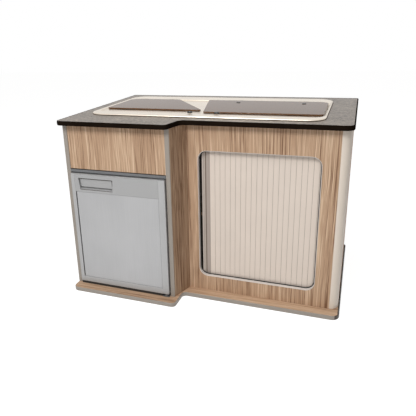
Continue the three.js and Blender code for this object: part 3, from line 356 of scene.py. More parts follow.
def tube(bm, points, radius, sides, bend):
    """A round bar through the points, its bends eased."""
    path = bmesh.new()
    verts = [path.verts.new(point) for point in points]
    for pair in zip(verts, verts[1:]):
        path.edges.new(pair)
    round_corners(path, verts[1:-1], bend, BEND_STEPS)
    start = Vector(points[0])
    vert = min(path.verts, key=lambda other: (other.co - start).length)
    places = [vert.co.copy()]
    line = vert.link_edges[0]
    while line:
        vert = line.other_vert(vert)
        places.append(vert.co.copy())
        line = next((other for other in vert.link_edges if other is not line), None)
    path.free()
    rings = []
    up = (places[1] - places[0]).orthogonal()
    for before, place, after in zip(places[:1] + places, places, places[1:] + places[-1:]):
        along = (after - before).normalized()
        up = (up - along * up.dot(along)).normalized()
        matrix = Matrix((along.cross(up), up, along)).transposed().to_4x4()
        matrix.translation = place
        ring = bmesh.ops.create_circle(
            bm, cap_ends=False, segments=sides, radius=radius, matrix=matrix
        )["verts"]
        rings.append(list({line for vert in ring for line in vert.link_edges}))
    for first, second in zip(rings, rings[1:]):
        bmesh.ops.bridge_loops(bm, edges=first + second)
    for ring in (rings[0], rings[-1]):
        bmesh.ops.edgeloop_fill(bm, edges=ring)


def merged(node):
    """A merged copy of a solid's mesh, in millimetres."""
    bm = bmesh.new()
    bm.from_mesh(frame["nodes"][node].data)
    bmesh.ops.remove_doubles(bm, verts=bm.verts, dist=SOLID_JOIN)
    bm.transform(BACK)
    flat = math.radians(FLAT_ANGLE)
    bmesh.ops.dissolve_limit(bm, angle_limit=flat, verts=bm.verts, edges=bm.edges)
    return bm


def soften(bm, width, steps):
    """Rounds every outer edge that is sharper than the limit."""
    limit = math.radians(SOFTEN_ANGLE)
    solid = [line for line in bm.edges if line.is_manifold]
    sharp = [line for line in solid if line.calc_face_angle_signed(0) > limit]
    round_edges(bm, sharp, width, steps)


# Pieces from shapes


def lead_normals(mesh, smooth):
    """Corner normals led by the larger faces, so that flat faces stay flat beside round edges."""
    limit = math.cos(math.radians(smooth))
    meeting = [[] for vert in mesh.vertices]
    faces = [(face.normal.copy(), face.area, face.vertices[:]) for face in mesh.polygons]
    for face in faces:
        for index in face[2]:
            meeting[index].append(face)
    normals = []
    for normal, area, corners in faces:
        for index in corners:
            total = normal * area
            for other, weight, unused in meeting[index]:
                if other is not normal and other.dot(normal) > limit:
                    total = total + other * weight
            normals.append(total.normalized())
    mesh.normals_split_custom_set(normals)


def piece(bm, name, finish, body, stands_for=(), slot=None, smooth=SMOOTH_ANGLE, outward=True):
    """Makes the finished object of a mesh, and lets it ride on its body."""
    if outward:
        bmesh.ops.recalc_face_normals(bm, faces=bm.faces)
    bm.transform(PLACE)
    mesh = bpy.data.meshes.new(name)
    bm.to_mesh(mesh)
    bm.free()
    mesh.shade_smooth()
    mesh.set_sharp_from_angle(angle=math.radians(smooth))
    if outward:
        lead_normals(mesh, smooth)
    made = bpy.data.objects.new(name, mesh)
    bpy.context.scene.collection.objects.link(made)
    finishes = [finish] if isinstance(finish, str) else finish
    for item in finishes:
        mesh.materials.append(material(item))
    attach(made, body)
    if stands_for:
        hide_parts(*stands_for)
    slot = slot or FINISHES[finishes[0]][0]
    return made


def dressed(node, name, finish, width, steps, slot=None, smooth=SMOOTH_ANGLE):
    """A solid's own shape with rounded edges, which stands for it."""
    bm = merged(node)
    soften(bm, width, steps)
    body = frame["nodes"][node]["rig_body"]
    return piece(bm, name, finish, body, [node], slot, smooth)


def boxed(name, finish, body, *boxes, stands_for=()):
    """A piece of rounded boxes; each is left, right, front, rear, low, high, edge and steps."""
    bm = bmesh.new()
    for box in boxes:
        block(bm, *box)
    return piece(bm, name, finish, body, stands_for)


def banded(name, finish, corners, profile, level=0.0, upright=False, stands_for=()):
    """A closed band round an outline of the cabinet."""
    bm = bmesh.new()
    layered(bm, corners, profile, level, upright, closed=True)
    return piece(bm, name, finish, "cabinet", stands_for)


def spun(name, finish, profile, centre, steps, stands_for):
    """A turned piece of the cabinet."""
    bm = bmesh.new()
    turned(bm, profile, centre, steps)
    return piece(bm, name, finish, "cabinet", stands_for)


def paint(node, finish):
    """Gives a solid a material."""
    data = frame["nodes"][node].data
    data.materials.clear()
    data.materials.append(material(finish))


# Materials


def grey(level):
    """A linear grey."""
    return (level, level, level, 1.0)


def tone(name, factor=1.0):
    """A colour setting with alpha, made lighter or darker."""
    channels = getattr(bpy.context.scene.pod_finishes, name)
    return (*[min(channel * factor, 1.0) for channel in channels], 1.0)


class Tree:
    """A node tree, built step by step."""

    def __init__(self, owner):
        owner.use_nodes = True
        self.tree = owner.node_tree

    def feed(self, socket, value):
        """Links or sets one socket."""
        if isinstance(value, bpy.types.NodeSocket):
            self.tree.links.new(value, socket)
        else:
            socket.default_value = value

    def node(self, kind, inputs=None, **settings):
        """A node with its settings and inputs."""
        made = self.tree.nodes.new("ShaderNode" + kind)
        for key, value in settings.items():
            setattr(made, key, value)
        for key, value in (inputs or {}).items():
            self.feed(made.inputs[key], value)
        return made

    def add(self, kind, inputs, **settings):
        """The first output of a new node."""
        return self.node(kind, inputs, **settings).outputs[0]

    def math(self, operation, first, second):
        """One sum."""
        return self.add("Math", {0: first, 1: second}, operation=operation)

    def shown(self):
        """1 for rays from the camera, a gloss or a glass, which see the white room; else 0."""
        rays = self.node("LightPath").outputs
        seen = self.math("MAXIMUM", rays["Is Camera Ray"], rays["Is Glossy Ray"])
        return self.math("MAXIMUM", seen, rays["Is Transmission Ray"])


class Recipe(Tree):
    """A material's node tree."""

    def __init__(self, name):
        self.material = bpy.data.materials.new(name)
        super().__init__(self.material)
        self.shader = self.tree.nodes["Principled BSDF"]
        self.place = self.node("TexCoord").outputs["Object"]

    def set(self, **values):
        """Sets the shader's own sockets; underscores stand for spaces."""
        for key, value in values.items():
            self.feed(self.shader.inputs[key.replace("_", " ")], value)

    def scaled(self, *scale):
        """Object coordinates, stretched."""
        return self.add("Mapping", {0: self.place, "Scale": scale})

    def noise(self, vector, scale, detail=2.0, roughness=0.5, distortion=0.0):
        """Soft noise of 0 to 1."""
        inputs = {"Vector": vector, "Scale": scale, "Detail": detail, "Roughness": roughness}
        inputs["Distortion"] = distortion
        return self.add("TexNoise", inputs)

    def weighed(self, *parts):
        """The sum of (value, weight) pairs."""
        total = None
        for value, weight in parts:
            part = self.math("MULTIPLY", value, weight)
            total = part if total is None else self.math("ADD", total, part)
        return total

    def ramp(self, share, *stops):
        """Colours or levels at (place, value) stops along 0 to 1."""
        made = self.node("ValToRGB", {0: share})
        elements = made.color_ramp.elements
        while len(elements) < len(stops):
            elements.new(1.0)
        for element, (position, value) in zip(elements, stops):
            element.position = position
            element.color = grey(value) if isinstance(value, float) else value
        return made.outputs[0]

    def mixed(self, share, first, second):
        """Two colours mixed."""
        return self.node("Mix", {0: share, 6: first, 7: second}, data_type="RGBA").outputs[2]

    def beyond(self, border):
        """1 to the right of a border across the pod, in metres, else 0."""
        across = self.add("SeparateXYZ", {0: self.place})
        return self.math("GREATER_THAN", across, border)

    def bump(self, height, strength, distance):
        """Fine relief, its depth in metres."""
        inputs = {"Height": height, "Strength": strength, "Distance": distance}
        self.set(Normal=self.add("Bump", inputs))


def wood(name, grain, painted_shade=1.0, shift=0.0, border=None):
    """Oak laminate with bands, streaks, dashes and fibres along the grain; a factor darkens it as
    painted shade, and past a border it is painted dark as shade.
    """
    made = Recipe(name)
    wander = made.noise(made.scaled(2.5, 2.5, 2.5), 1.0)
    drift = made.add("CombineXYZ", {0: made.math("MULTIPLY", wander, 0.02)})
    swayed = made.add("VectorMath", {0: made.place, 1: drift}, operation="ADD")

    def grained(across, along, offset, detail, roughness, distortion=0.0):
        """Noise that is long along the grain; across and along are features per metre."""
        scale = [across] * 3
        scale["XYZ".index(grain)] = along
        inputs = {0: swayed, "Scale": scale, "Location": (offset + shift,) * 3}
        return made.noise(made.add("Mapping", inputs), 1.0, detail, roughness, distortion)

    bands = grained(22.0, 0.8, 0.0, 2.0, 0.5)
    streaks = grained(130.0, 2.0, 3.7, 3.0, 0.6, 0.2)
    dashes = grained(300.0, 4.5, 6.3, 2.0, 0.6)
    fibres = grained(620.0, 16.0, 9.1, 2.0, 0.6)
    share = made.weighed((bands, 0.20), (streaks, 0.24), (dashes, 0.42), (fibres, 0.14))
    dark, mid, light = tone("oak_dark", painted_shade), tone("oak_mid", painted_shade), tone("oak_light", painted_shade)
    face = made.ramp(share, (0.41, dark), (0.48, mid), (0.52, mid), (0.58, light))
    # Past the border the oak is painted dark as shade.
    if border is not None:
        face = made.mixed(made.beyond(border), face, tone("painted_shade_oak_end"))
    roughness = made.ramp(fibres, (0.3, 0.5), (0.7, 0.62))
    made.set(Base_Color=face, Roughness=roughness, Specular_IOR_Level=0.3)
    made.bump(fibres, 0.18, 0.0006)
    return made.material


def laminate(name):
    """Speckled worktop laminate."""
    made = Recipe(name)
    cloud = made.noise(made.place, 14.0, 3.0, 0.6)
    blotch = made.noise(made.place, 75.0, 4.0, 0.75)
    grit = made.noise(made.place, 420.0, 2.0, 0.6)
    share = made.weighed((cloud, 0.14), (blotch, 0.60), (grit, 0.26))
    ground = [(0.47, tone(name, 0.8)), (0.53, tone(name, 1.15)), (0.60, tone(name, 1.8))]
    made.set(Base_Color=made.ramp(share, (0.40, tone("laminate_fleck")), *ground))
    made.set(Roughness=made.ramp(blotch, (0.3, 0.30), (0.7, 0.44)), Specular_IOR_Level=0.16)
    made.bump(grit, 0.15, 0.0004)
    return made.material


def moulded(name, roughness, grain, relief, variation, specular=0.5, metallic=0.0):
    """Moulded or painted surface with a fine texture and slight unevenness."""
    made = Recipe(name)
    cloud = made.noise(made.place, 9.0, 3.0, 0.6)
    fine = made.noise(made.place, grain, 2.0, 0.6)
    share = made.weighed((cloud, 0.7), (fine, 0.3))
    low, high = tone(name, 1 - variation), tone(name, 1 + variation)
    sheen = made.ramp(cloud, (0.3, roughness * 0.9), (0.7, min(roughness * 1.12, 1.0)))
    made.set(Base_Color=made.ramp(share, (0.35, low), (0.65, high)), Roughness=sheen)
    made.set(Specular_IOR_Level=specular, Metallic=metallic)
    made.bump(fine, relief, 0.0003)
    return made.material


def brushed(name, metal, scale, roughness, metallic=1.0, relief=0.06):
    """Metal with fine lines along the axis whose scale is smallest."""
    made = Recipe(name)
    lines = made.noise(made.scaled(*scale), 1.0, 3.0, 0.7)
    cloud = made.noise(made.place, 6.0)
    share = made.weighed((lines, 0.55), (cloud, 0.45))
    made.set(Base_Color=made.ramp(share, (0.3, tone(metal, 0.90)), (0.7, tone(metal, 1.06))))
    made.set(Roughness=made.ramp(lines, (0.3, roughness * 0.8), (0.7, roughness * 1.25)))
    made.set(Metallic=metallic)
    made.bump(lines, relief, 0.0002)
    return made.material


def tinted_glass(name):
    """Smoked glass of the lids."""
    made = Recipe(name)
    smear = made.noise(made.place, 5.0, 3.0, 0.6)
    made.set(Base_Color=made.mixed(smear, tone(name, 0.92), tone(name, 1.05)))
    made.set(Roughness=made.ramp(smear, (0.3, 0.04), (0.7, 0.09)))
    made.set(Transmission_Weight=0.45, IOR=1.45, Specular_IOR_Level=0.02)
    return made.material


def plywood(name):
    """Bare birch plywood with its veneer's long grain."""
    made = Recipe(name)
    figure = made.noise(made.scaled(26.0, 26.0, 2.2), 1.0, 3.0, 0.6, 0.4)
    fibre = made.noise(made.scaled(300.0, 300.0, 12.0), 1.0)
    share = made.weighed((figure, 0.7), (fibre, 0.3))
    stops = [(0.34, tone(name, 0.80)), (0.5, tone(name, 0.97)), (0.66, tone(name, 1.1))]
    made.set(Base_Color=made.ramp(share, *stops), Roughness=0.7)
    made.bump(fibre, 0.2, 0.0005)
    return made.material


def edging_with_shaded_side(name, border):
    """Grey edging at the front whose run along the right side is painted dark as shade."""
    made = Recipe(name)
    cloud = made.noise(made.place, 30.0, 3.0)
    front = made.mixed(cloud, tone("grey_edge", 0.94), tone("grey_edge", 1.06))
    side = made.mixed(cloud, tone("painted_shade_edge", 0.9), tone("painted_shade_edge", 1.1))
    made.set(Base_Color=made.mixed(made.beyond(border), front, side), Roughness=0.45)
    made.bump(cloud, 0.05, 0.0003)
    return made.material


# Each finish: the slot it belongs to, its maker, and the maker's values. For moulded these are
# roughness, grain, relief, variation, specular and metallic; for brushed its metal's colour, the
# lines' scale, roughness, metallic and relief; for wood the grain's axis, a factor of painted
# shade, shift and a border past which the oak is painted dark as shade.
FINISHES = {
    "oak_upright": ("oak_laminate", wood, "Z"),
    # The step filler is the oak darkened to 0.8 as painted shade on its side face.
    "oak_step": ("oak_laminate", wood, "Z", 0.8, 2.0),
    "oak_flat": ("oak_laminate", wood, "X", 1.0, 5.0),
    "base_oak": ("oak_laminate", wood, "X", 1.0, 5.0, 0.5035),
    "ply": ("birch_ply", plywood),
    "laminate": ("worktop_laminate", laminate),
    "black_edge": ("black_edging", moulded, 0.6, 500.0, 0.08, 0.2, 0.0),
    "grey_edge": ("grey_edging", moulded, 0.48, 700.0, 0.08, 0.05),
    "base_edge": ("grey_edging", edging_with_shaded_side, 0.495),
    "trim": ("grey_edging", moulded, 0.36, 700.0, 0.05, 0.05),
    "cream": ("cream_profile", moulded, 0.42, 800.0, 0.05, 0.025),
    "slat": ("cream_profile", moulded, 0.42, 800.0, 0.05, 0.025),
    "grip": ("cream_profile", moulded, 0.42, 800.0, 0.05, 0.03),
    "groove": ("cream_profile", moulded, 0.6, 800.0, 0.05, 0.04),
    "taupe": ("cream_profile", moulded, 0.42, 800.0, 0.05, 0.03),
    "steel": ("stainless_steel", brushed, "steel", (8.0, 700.0, 700.0), 0.3),
    "bright_steel": (
        "stainless_steel", brushed, "steel", (300.0, 300.0, 300.0), 0.16, 1.0, 0.02
    ),
    "glass": ("smoked_glass", tinted_glass),
    "silver": ("silver_frame", brushed, "silver", (500.0, 500.0, 6.0), 0.42, 0.35),
    "panel": ("grey_panel", brushed, "panel", (500.0, 500.0, 5.0), 0.36, 0.45),
    "flange": ("grey_panel", brushed, "flange", (6.0, 500.0, 500.0), 0.42, 0.35),
    "header": ("grey_panel", moulded, 0.45, 900.0, 0.05, 0.02, 0.5, 0.3),
    "white": ("white_plastic", moulded, 0.34, 500.0, 0.04, 0.015),
    "black": ("black_plastic", moulded, 0.5, 900.0, 0.12, 0.12),
    "rubber": ("grey_rubber", moulded, 0.7, 400.0, 0.15, 0.06),
    "black_rubber": ("black_rubber", moulded, 0.75, 400.0, 0.15, 0.15),
    "sealant": ("black_rubber", moulded, 0.7, 400.0, 0.15, 0.1, 0.1),
    "enamel": ("black_enamel", moulded, 0.3, 160.0, 0.08, 0.1),
    "iron": ("cast_iron", moulded, 0.62, 260.0, 0.35, 0.15, 0.5, 0.3),
    "mark": (None, moulded, 0.5, 500.0, 0.02, 0.02),
}
MATERIALS = {}


def material(name):
    """A material of the pod, made the first time it is asked for."""
    if name not in MATERIALS:
        maker, *values = FINISHES[name][1:]
        MATERIALS[name] = maker(name, *values)
    return MATERIALS[name]


# Stage


class AddStage(Operator):
    """Adds the floor, the lamps, the room's light and the camera"""

    bl_idname = "pod.add_stage"
    bl_label = "Stage"

    def execute(self, context):
        settings = context.scene.pod_stage
        context.scene.view_settings.view_transform = "Standard"
        self.add_floor(context)
        self.add_room(context, settings.ambient)
        self.add_lamp(context, "key_lamp", (-0.7, -2.6, 2.7), 1.0, settings.key)
        self.add_lamp(context, "top_lamp", (0.2, -1.6, 3.0), 2.6, settings.top)
        self.add_lamp(context, "low_lamp", (0.2, -2.0, 0.35), 0.9, settings.low)
        self.add_camera(context, settings)
        return {"FINISHED"}

    def add_floor(self, context):
        """A wide floor, just below the base board."""
        reach, drop = 9, 0.0006
        bm = bmesh.new()
        bmesh.ops.create_grid(bm, x_segments=2, y_segments=2, size=reach)
        bmesh.ops.translate(bm, vec=(0, 0, -drop), verts=bm.verts)
        mesh = bpy.data.meshes.new("floor")
        bm.to_mesh(mesh)
        bm.free()
        floor = bpy.data.objects.new("floor", mesh)
        context.scene.collection.objects.link(floor)
        mesh.materials.append(self.floor_material())

    def floor_material(self):
        """A plain floor that shows white with a soft shadow, and lights the pod as grey."""
        made = Recipe("floor")
        made.set(Base_Color=grey(0.82), Roughness=0.9, Specular_IOR_Level=0.1)
        glow = made.add("Emission", {"Color": grey(1.0), "Strength": 0.9})
        pale = made.add("BsdfDiffuse", {"Color": grey(0.34)})
        both = made.add("AddShader", {0: glow, 1: pale})
        mix = made.add("MixShader", {0: made.shown(), 1: made.shader.outputs[0], 2: both})
        made.feed(made.tree.nodes["Material Output"].inputs["Surface"], mix)
        return made.material

    def add_room(self, context, strength):
        """Even light on the pod, in a room that shows white."""
        room = bpy.data.worlds.new("room")
        made = Tree(room)
        even = made.tree.nodes["Background"]
        even.inputs["Color"].default_value = (1.0, 0.99, 0.975, 1.0)
        even.inputs["Strength"].default_value = strength
        white = made.add("Background", {"Color": grey(1.0), "Strength": 1.0})
        mix = made.add("MixShader", {0: made.shown(), 1: even.outputs[0], 2: white})
        made.feed(made.tree.nodes["World Output"].inputs["Surface"], mix)
        context.scene.world = room

    def add_lamp(self, context, name, place, width, power):
        """A square lamp that faces the pod's middle."""
        middle = Vector((0, 0, 0.35))
        light = bpy.data.lights.new(name, "AREA")
        light.size = width
        light.energy = power
        lamp = bpy.data.objects.new(name, light)
        lamp.location = place
        lamp.rotation_euler = (middle - Vector(place)).to_track_quat("-Z", "Y").to_euler()
        context.scene.collection.objects.link(lamp)

    def add_camera(self, context, settings):
        """The camera at the photograph's place, its picture shifted to the photograph's middle."""
        picture = 416
        yaw, pitch, roll = settings.yaw, settings.pitch, settings.roll
        level = Vector((math.cos(yaw), math.sin(yaw), 0))
        ahead = Vector((-math.sin(yaw), math.cos(yaw), 0)) * math.cos(pitch)
        ahead.z = -math.sin(pitch)
        upward = level.cross(ahead)
        right = math.cos(roll) * level + math.sin(roll) * upward
        up = -math.sin(roll) * level + math.cos(roll) * upward
        matrix = Matrix((right, up, -ahead)).transposed().to_4x4()
        eye = Vector((settings.eye_x, -settings.eye_back, settings.eye_z))
        matrix.translation = eye - ORIGIN / 1000
        data = bpy.data.cameras.new("camera")
        data.sensor_width = 36.0
        data.lens = settings.lens
        data.shift_x = 0.5 - settings.centre_x / picture
        data.shift_y = settings.centre_y / picture - 0.5
        camera = bpy.data.objects.new("camera", data)
        camera.matrix_world = matrix
        context.scene.collection.objects.link(camera)
        context.scene.camera = camera


# Cabinet

# How far the right part stands back, the thickness of its front board, the rear edge of the
# boards, and the worktop's levels
RECESS = 92.0
BOARD = 15.0
REAR = 660.0
WORKTOP_UNDER = 664.0
WORKTOP_TOP = 680.0
UPRIGHT_BOARDS = (
    "left_side_panel", "partition_panel", "right_side_panel", "upper_front_panel",
    "cupboard_front",
)

# Profiles of bands, as (inset from the outline, rise)
BASE_BAND = (
    (2.0, 0.0), (1.0, 0.0), (0.3, 0.6), (0.0, 2.0), (0.0, 13.6), (0.25, 15.0), (0.9, 15.8),
    (1.5, 16.0), (2.0, 16.0),
)
TRIM_STRIP = (
    (0.3, 0.2), (0.8, 0.0), (1.5, 0.1), (1.9, 0.5), (2.0, 1.2), (2.0, BOARD), (0.3, BOARD)
)
# The trim's black lip behind the board is painted shade, the dark line below the shutter.
TRIM_SHADOW_LIP = ((1.9, -2.0), (4.8, -1.8), (5.4, -1.2), (5.4, -0.5), (4.8, 0.0), (1.9, 0.0))

# The worktop's band: the inset and curve of its rounds, and its thin lip over the laminate
BAND_INSET = 1.5
BAND_CURVE = 1.6
BAND_SHARES = (1.0, 0.75, 0.45, 0.2, 0.05, 0.0)
BAND_LIP = ((1.9, 0.25), (4.4, 0.25), (4.8, -0.2))


def stepped(left, front, jog, run):
    """Corners of the worktop's or base board's outline, with its step in the front."""
    right = 1007.0
    jog_radius, rear_radius = 17.0, 10.0
    return [
        (left, front, 22.0),
        (jog, front, jog_radius),
        (jog + run, front + RECESS, jog_radius),
        (right, front + RECESS, 28.0),
        (right, REAR, rear_radius),
        (left, REAR, rear_radius),
    ]


class AddBoards(Operator):
    """Finishes the upright boards, the back, the rail and the shelf"""

    bl_idname = "pod.add_boards"
    bl_label = "Boards"

    def execute(self, context):
        edge = size("arris")
        for node in UPRIGHT_BOARDS:
            dressed(node, node + "_board", "oak_upright", edge / 3, 1)
        dressed("step_filler", "step_filler_board", "oak_step", edge, 2)
        dressed("cupboard_shelf", "shelf_board", "oak_flat", edge, 2)
        for node in ("cupboard_back", "fridge_back_rail"):
            dressed(node, node + "_board", "ply", edge / 2, 1)
        return {"FINISHED"}


class AddWorktop(Operator):
    """Adds the worktop's laminate and its rounded black edging"""

    bl_idname = "pod.add_worktop"
    bl_label = "Worktop"

    def execute(self, context):
        paint("worktop", "laminate")
        outline = stepped(left=-12.0, front=-28.0, jog=420.0, run=19.0)
        reach = size("band_round")
        thickness = WORKTOP_TOP - WORKTOP_UNDER
        bend = [(BAND_INSET * share, reach * (1 - share) ** BAND_CURVE) for share in BAND_SHARES]
        profile = [(2.0, 0.0), *bend]
        profile += [(inset, thickness - rise) for inset, rise in reversed(bend)]
        profile += [(inset, thickness + rise) for inset, rise in BAND_LIP]
        banded(
            "worktop_band", "black_edge", outline, profile, WORKTOP_UNDER,
            stands_for=["worktop_edging"],
        )
        return {"FINISHED"}


class AddBase(Operator):
    """Adds the base board and its edging"""

    bl_idname = "pod.add_base"
    bl_label = "Base board"

    def execute(self, context):
        # The base board's right end and its edging's right side are painted dark as shade.
        paint("base_board", "base_oak")
        outline = stepped(left=0.0, front=-46.0, jog=434.0, run=2.0)
        banded("base_band", "base_edge", outline, BASE_BAND, stands_for=["base_edging"])
        return {"FINISHED"}


class AddEdgings(Operator):
    """Adds the edgings of the two left uprights and the round corner post"""

    bl_idname = "pod.add_edgings"
    bl_label = "Edgings and post"

    def execute(self, context):
        for node in ("left_panel_edging", "step_edging"):
            dressed(node, node + "_strip", "grey_edge", 0.3, 1)
        dressed("corner_post", "corner_post_profile", "cream", 0.4, 1)
        return {"FINISHED"}


class AddOpeningTrim(Operator):
    """Adds the trim that lines the cupboard's opening, with a black lip at the back that is painted
    shade
    """

    bl_idname = "pod.add_opening_trim"
    bl_label = "Opening trim"

    def execute(self, context):
        opening = rectangle(489.0, 917.0, 75.0, 570.0, 34.0)
        banded(
            "opening_trim_strip", "trim", opening, TRIM_STRIP, RECESS, upright=True,
            stands_for=["opening_trim"],
        )
        inner_face = RECESS + BOARD
        banded(
            "opening_trim_lip", "black_rubber", opening, TRIM_SHADOW_LIP, inner_face, upright=True
        )
        return {"FINISHED"}


# Tambour

# The shutter's faces and ends, and its handle's sides
SHUTTER_FRONT = 112.3
SHUTTER_REAR = 118.3
SHUTTER_LOW = 62.6
SHUTTER_HIGH = 582.4
HANDLE_LEFT = 499.0
HANDLE_RIGHT = 528.5

# The slats: the first one's left edge, their pitch, number and depth, the width of a slat's
# shoulder and its share of the crown's fall, and how deep a slat sits in the backing
FIRST_SLAT = 528.8
SLAT_PITCH = 19.0
SLAT_COUNT = 21
SLAT_DEPTH = 1.4
SLAT_SHOULDER = 4.0
SHOULDER_FALL = 0.35
SLAT_SEAT = 0.05

# The curtain's right end
CURTAIN_END = 926.2


class AddTambour(Operator):
    """Adds the slatted curtain, its handle and the tracks"""

    bl_idname = "pod.add_tambour"
    bl_label = "Tambour"

    def execute(self, context):
        self.add_curtain()
        self.add_handle()
        for node in ("bottom_track", "top_track"):
            dressed(node, node + "_rail", "black", 0.3, 1)
        return {"FINISHED"}

    def add_curtain(self):
        """The slats on their backing, which shows dark in the gaps."""
        bm = bmesh.new()
        for index in range(SLAT_COUNT):
            self.add_slat(bm, FIRST_SLAT + index * SLAT_PITCH)
        slats = set(bm.faces)
        seat = SHUTTER_FRONT + SLAT_DEPTH - SLAT_SEAT
        backing = (FIRST_SLAT, CURTAIN_END, seat, SHUTTER_REAR, SHUTTER_LOW, SHUTTER_HIGH)
        block(bm, *backing, edge=0.1, steps=1)
        for face in set(bm.faces) - slats:
            face.material_index = 1
        finishes = ["slat", "groove"]
        curtain = piece(bm, "tambour_slats", finishes, "cabinet", ["tambour_curtain"], smooth=50)
        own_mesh(curtain)

    def add_slat(self, bm, left):
        """One slat, drawn as its crowned plan outline and raised to its height."""
        right = left + SLAT_PITCH - size("slat_gap")
        front, rear = SHUTTER_FRONT, SHUTTER_FRONT + SLAT_DEPTH
        edge = front + size("slat_crown")
        shoulder = front + size("slat_crown") * SHOULDER_FALL
        plan = [
            (left, rear), (left, edge), (left + SLAT_SHOULDER, shoulder),
            ((left + right) / 2, front),
            (right - SLAT_SHOULDER, shoulder), (right, edge), (right, rear),
        ]
        foot = [(across, along, SHUTTER_LOW) for across, along in plan]
        verts = raised(bm, foot, (0, 0, SHUTTER_HIGH - SHUTTER_LOW))
        uprights = []
        for vert in (verts[1], verts[5]):
            for line in vert.link_edges:
                if line.other_vert(vert).co.z > vert.co.z + 1:
                    uprights.append(line)
        round_edges(bm, uprights, size("slat_round"), 3)

    def add_handle(self):
        """The shutter's wide first profile, with its raised grip and beside it a dark strip painted
        as the shade of a groove.
        """
        left, front = HANDLE_LEFT, SHUTTER_FRONT
        inner_low, inner_high = 72.4, 572.6
        boxed(
            "tambour_handle_flat", "taupe", "tambour_handle",
            (left, HANDLE_RIGHT, front, SHUTTER_REAR, SHUTTER_LOW, SHUTTER_HIGH, 0.5, 2),
            stands_for=["tambour_handle"],
        )
        boxed(
            "tambour_handle_grip", "grip", "tambour_handle",
            (left, left + 7.0, front - 3.6, front + 0.4, inner_low, inner_high, 1.6, 4),
            (left + 6.0, left + 11.6, front - 1.0, front + 0.4, inner_low, inner_high, 0.6, 3),
        )
        # A dark strip painted as the shade of a groove.
        boxed(
            "tambour_handle_groove", "groove", "tambour_handle",
            (left + 12.0, left + 15.8, front - 0.12, front + 0.3, 64.0, 581.0, 0.08, 1),
        )


# Sink and hob

# The unit's front left corner on the worktop, and places in it
UNIT = Vector((42.0, 113.0))
KNOB_ROW = UNIT.y + 61.0
KNOBS = (("left", UNIT.x + 394.5), ("right", UNIT.x + 495.5))
BURNER_ROW = UNIT.y + 232.5
BURNERS = (("left", UNIT.x + 554.7), ("right", UNIT.x + 745.6))
WASTE = (222.9, 363.0)
TAP = (113.0, 412.0)
HOB_BOLTS = ((555.4, 432.5), (813.2, 432.5))

# Levels of its steel, and of what sits on it
DECK = WORKTOP_TOP + 2.0
BOWL_FLOOR = WORKTOP_TOP - 140.0
STRAINER = BOWL_FLOOR + 0.5
TAP_SEAT = WORKTOP_TOP - 37.7
SPOUT_SEAT = TAP_SEAT + 13.3
BURNER_SEAT = WORKTOP_TOP - 39.7
CAP_SEAT = BURNER_SEAT + 15.3
KNOB_SEAT = DECK + 4.8
PANE_UNDER = WORKTOP_TOP + 3.6
PANE_THICKNESS = 4.4

# Radii of the holes for a knob's spindle, the waste and a lid's bolt, and the width of the flat
# ring about a hole in the steel
SPINDLE_HOLE = 3.6
WASTE_HOLE = 22.4
BOLT_HOLE = 3.8
HOLE_RING = 1.4

# Profiles of the pressed steel, as (inset from the outline, rise over the worktop)
RIM_OUTSIDE = (
    (0.9, 0.4), (0.2, 1.4), (0.0, 2.8), (0.6, 4.4), (1.8, 5.5), (3.6, 6.0), (4.4, 6.0)
)
RIM_INSIDE = (
    (-4.2, 6.0), (-3.4, 6.0), (-1.8, 5.6), (-0.5, 4.6), (0.1, 3.4), (1.0, 2.4), (2.6, 2.0),
    (3.4, 2.0),
)
BOWL_WALL = ((0.2, -32.0), (1.0, -36.0), (4.0, -38.0))
SUMP_WALL = (
    (-2.4, -38.0), (-0.6, -38.8), (0.3, -41.0), (12.6, -126.0), (14.4, -134.0),
    (18.0, -138.6), (24.0, -140.0), (24.8, -140.0),
)
WELL_WALL = ((3.6, -32.0), (4.8, -37.0), (7.5, -39.4), (12.0, -40.0), (12.8, -40.0))
SEALANT_SHADE_BEAD = ((0.8, 0.02), (-1.5, 0.02), (-1.3, 0.6), (-0.4, 1.0), (0.8, 1.1))

# Profiles of turned pieces, as (radius, rise)
WASTE_CUP = (
    (0.0, 0.6), (9.0, 0.6), (16.0, 0.8), (19.0, 1.8), (24.0, 2.0), (30.0, 1.6), (32.0, 0.6),
    (31.6, 0.2), (22.0, 0.2), (22.0, -31.0), (19.5, -31.0), (19.5, -1.0), (0.0, -1.0),
)
STRAINER_HOLE_SHADE = ((0.0, 0.0), (2.6, 0.0), (2.6, 0.45), (0.0, 0.45))
STRAINER_STUD = ((0.0, 0.0), (3.4, 0.0), (3.0, 2.0), (0.0, 2.6))
TAP_BASE = (
    (0.0, 0.0), (14.0, 0.0), (14.0, 1.6), (12.8, 3.2), (12.0, 4.6), (12.0, 12.2), (11.4, 13.0),
    (0.0, 13.0),
)
TAP_HUB = (
    (0.0, 0.0), (11.6, 0.0), (12.0, 0.5), (12.0, 9.4), (11.0, 10.6), (8.0, 11.0), (0.0, 11.0)
)
BURNER_RING = (
    (0.0, 0.0), (28.6, 0.0), (29.0, 0.5), (29.0, 5.6), (28.2, 6.2), (25.0, 8.2), (24.6, 9.0),
    (24.6, 14.6), (24.0, 15.0), (9.4, 15.0), (9.0, 14.6), (9.0, 7.5), (0.0, 7.5),
)
BURNER_CAP = (
    (0.0, 0.0), (21.4, 0.0), (22.0, 0.6), (22.0, 2.6), (20.6, 4.0), (17.5, 4.8), (10.0, 5.0),
    (0.0, 5.0),
)
KNOB = (
    (0.0, 4.8), (3.3, 4.8), (3.3, 0.0), (9.0, 0.0), (9.5, 0.4), (9.5, 2.2), (9.0, 2.7),
    (8.3, 4.6), (7.7, 5.5), (6.7, 6.0), (0.0, 5.7),
)
KNOB_RIB = ((0.0, 0.0), (0.7, 0.0), (0.6, 2.2), (0.0, 2.5))


